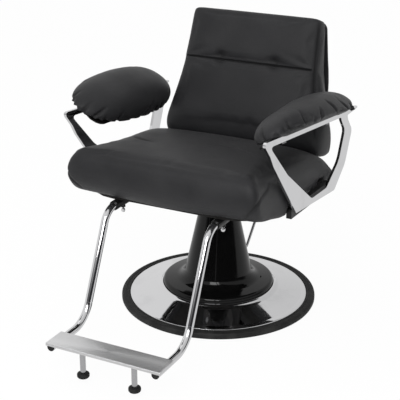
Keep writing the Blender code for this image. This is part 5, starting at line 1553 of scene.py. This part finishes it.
# %% [markdown]
# ### Arm pads
# Each pad is a long bun, drawn together under its edge by gathers. A sphere squeezed to the pad's plan gives
# the bun. After it is stuffed, the gathers are pressed in as short folds that climb from the edge, each with
# its own length and slant. Only then is the pad moved to its place on the rail.

# %% Shape a pad
PAD_HALF_LENGTH = 0.2515
PAD_HALF_WIDTH = 0.0955
PAD_SHIFT = -0.0146
PAD_FOOT = 0.0043
PAD_BASE = 0.010
PAD_CROWN = 0.074
PAD_FULLNESS = 0.85
PAD_VOXEL = 0.0042
PAD_DIP = 0.006
PAD_DIP_PLACE = -0.35
PAD_DIP_REACH = 0.28
PAD_NOSE = 0.006
PAD_DROOP = 0.012


def pad_point(point, sign):
    """Turn a point of a unit ball into a point of a pad in the pad's own frame."""
    around = math.atan2(point.y, point.x)
    reach = math.hypot(point.x, point.y) ** PAD_FULLNESS
    x = math.copysign(abs(math.cos(around)) ** PAD_FULLNESS, math.cos(around)) * PAD_HALF_WIDTH * reach
    y = math.copysign(abs(math.sin(around)) ** PAD_FULLNESS, math.sin(around)) * PAD_HALF_LENGTH * reach
    along = y / PAD_HALF_LENGTH
    outward = x / PAD_HALF_WIDTH
    rise = PAD_CROWN * point.z if point.z > 0 else PAD_BASE * max(-1.0, point.z / 0.75)
    if point.z > 0:
        dip = PAD_DIP * math.exp(-((along - PAD_DIP_PLACE) / PAD_DIP_REACH) ** 2)
        rise -= (dip + PAD_NOSE * max(0.0, -along)) * point.z
    droop = PAD_DROOP * ease(along, -0.1, 0.5) * ease(outward, 0.62, 0.95)
    return sign * (PAD_SHIFT + x), y, PAD_FOOT + PAD_BASE + rise - droop * (1 - abs(point.z))


def pad_form(sign):
    """A bun in the pad's own frame."""
    form = bmesh.new()
    bmesh.ops.create_uvsphere(form, u_segments=96, v_segments=40, radius=1.0)
    for vert in form.verts:
        vert.co = pad_point(vert.co, sign)
    bmesh.ops.recalc_face_normals(form, faces=form.faces[:])
    return form


print("pad", 2 * PAD_HALF_LENGTH, "by", 2 * PAD_HALF_WIDTH)

# %% Stuff and gather the pads
GATHERS = 32
FOLD_STEPS = 8
FOLD_START = -0.50
FOLD_DEPTH = 0.0078
FOLD_CHANGE = 0.0022
# The second value is the painted shade that each gather lays in its fold.
FOLD_PRESS = (0.0056, 0.60, 0.45)
FOLD_SPACING = 0.002
for side, sign in SIDES:
    pad = make_piece(f"gathered_pad_{side}", pad_form(sign), f"arm_pad_{side}")
    even_skin(pad, 0, PAD_VOXEL)
    stuff(pad, lambda points: points[:, 2] < PAD_FOOT + HOLD_REACH, swell=0.006, slack=0.003)
    refine(pad)
    for gather in range(GATHERS):
        around = 2 * math.pi * (gather + 0.40 * math.sin(7.0 * gather + sign)) / GATHERS
        climb = 0.80 + 0.30 * math.sin(3.7 * gather + 1.3)
        slant = 0.14 * math.sin(5.1 * gather) - 0.08
        fold = []
        for step in range(FOLD_STEPS + 1):
            level = FOLD_START + climb * step / FOLD_STEPS
            turn = around + slant * (step / FOLD_STEPS) ** 1.5
            flat = math.sqrt(max(0.0, 1 - level * level))
            fold.append(pad_point(Vector((flat * math.cos(turn), flat * math.sin(turn), level)), sign))
        depth = FOLD_DEPTH + FOLD_CHANGE * math.sin(2.3 * gather)
        press_line(pad, lay_line(pad, fold, FOLD_SPACING), depth, *FOLD_PRESS)
    pad.data.transform(pad_place(sign))
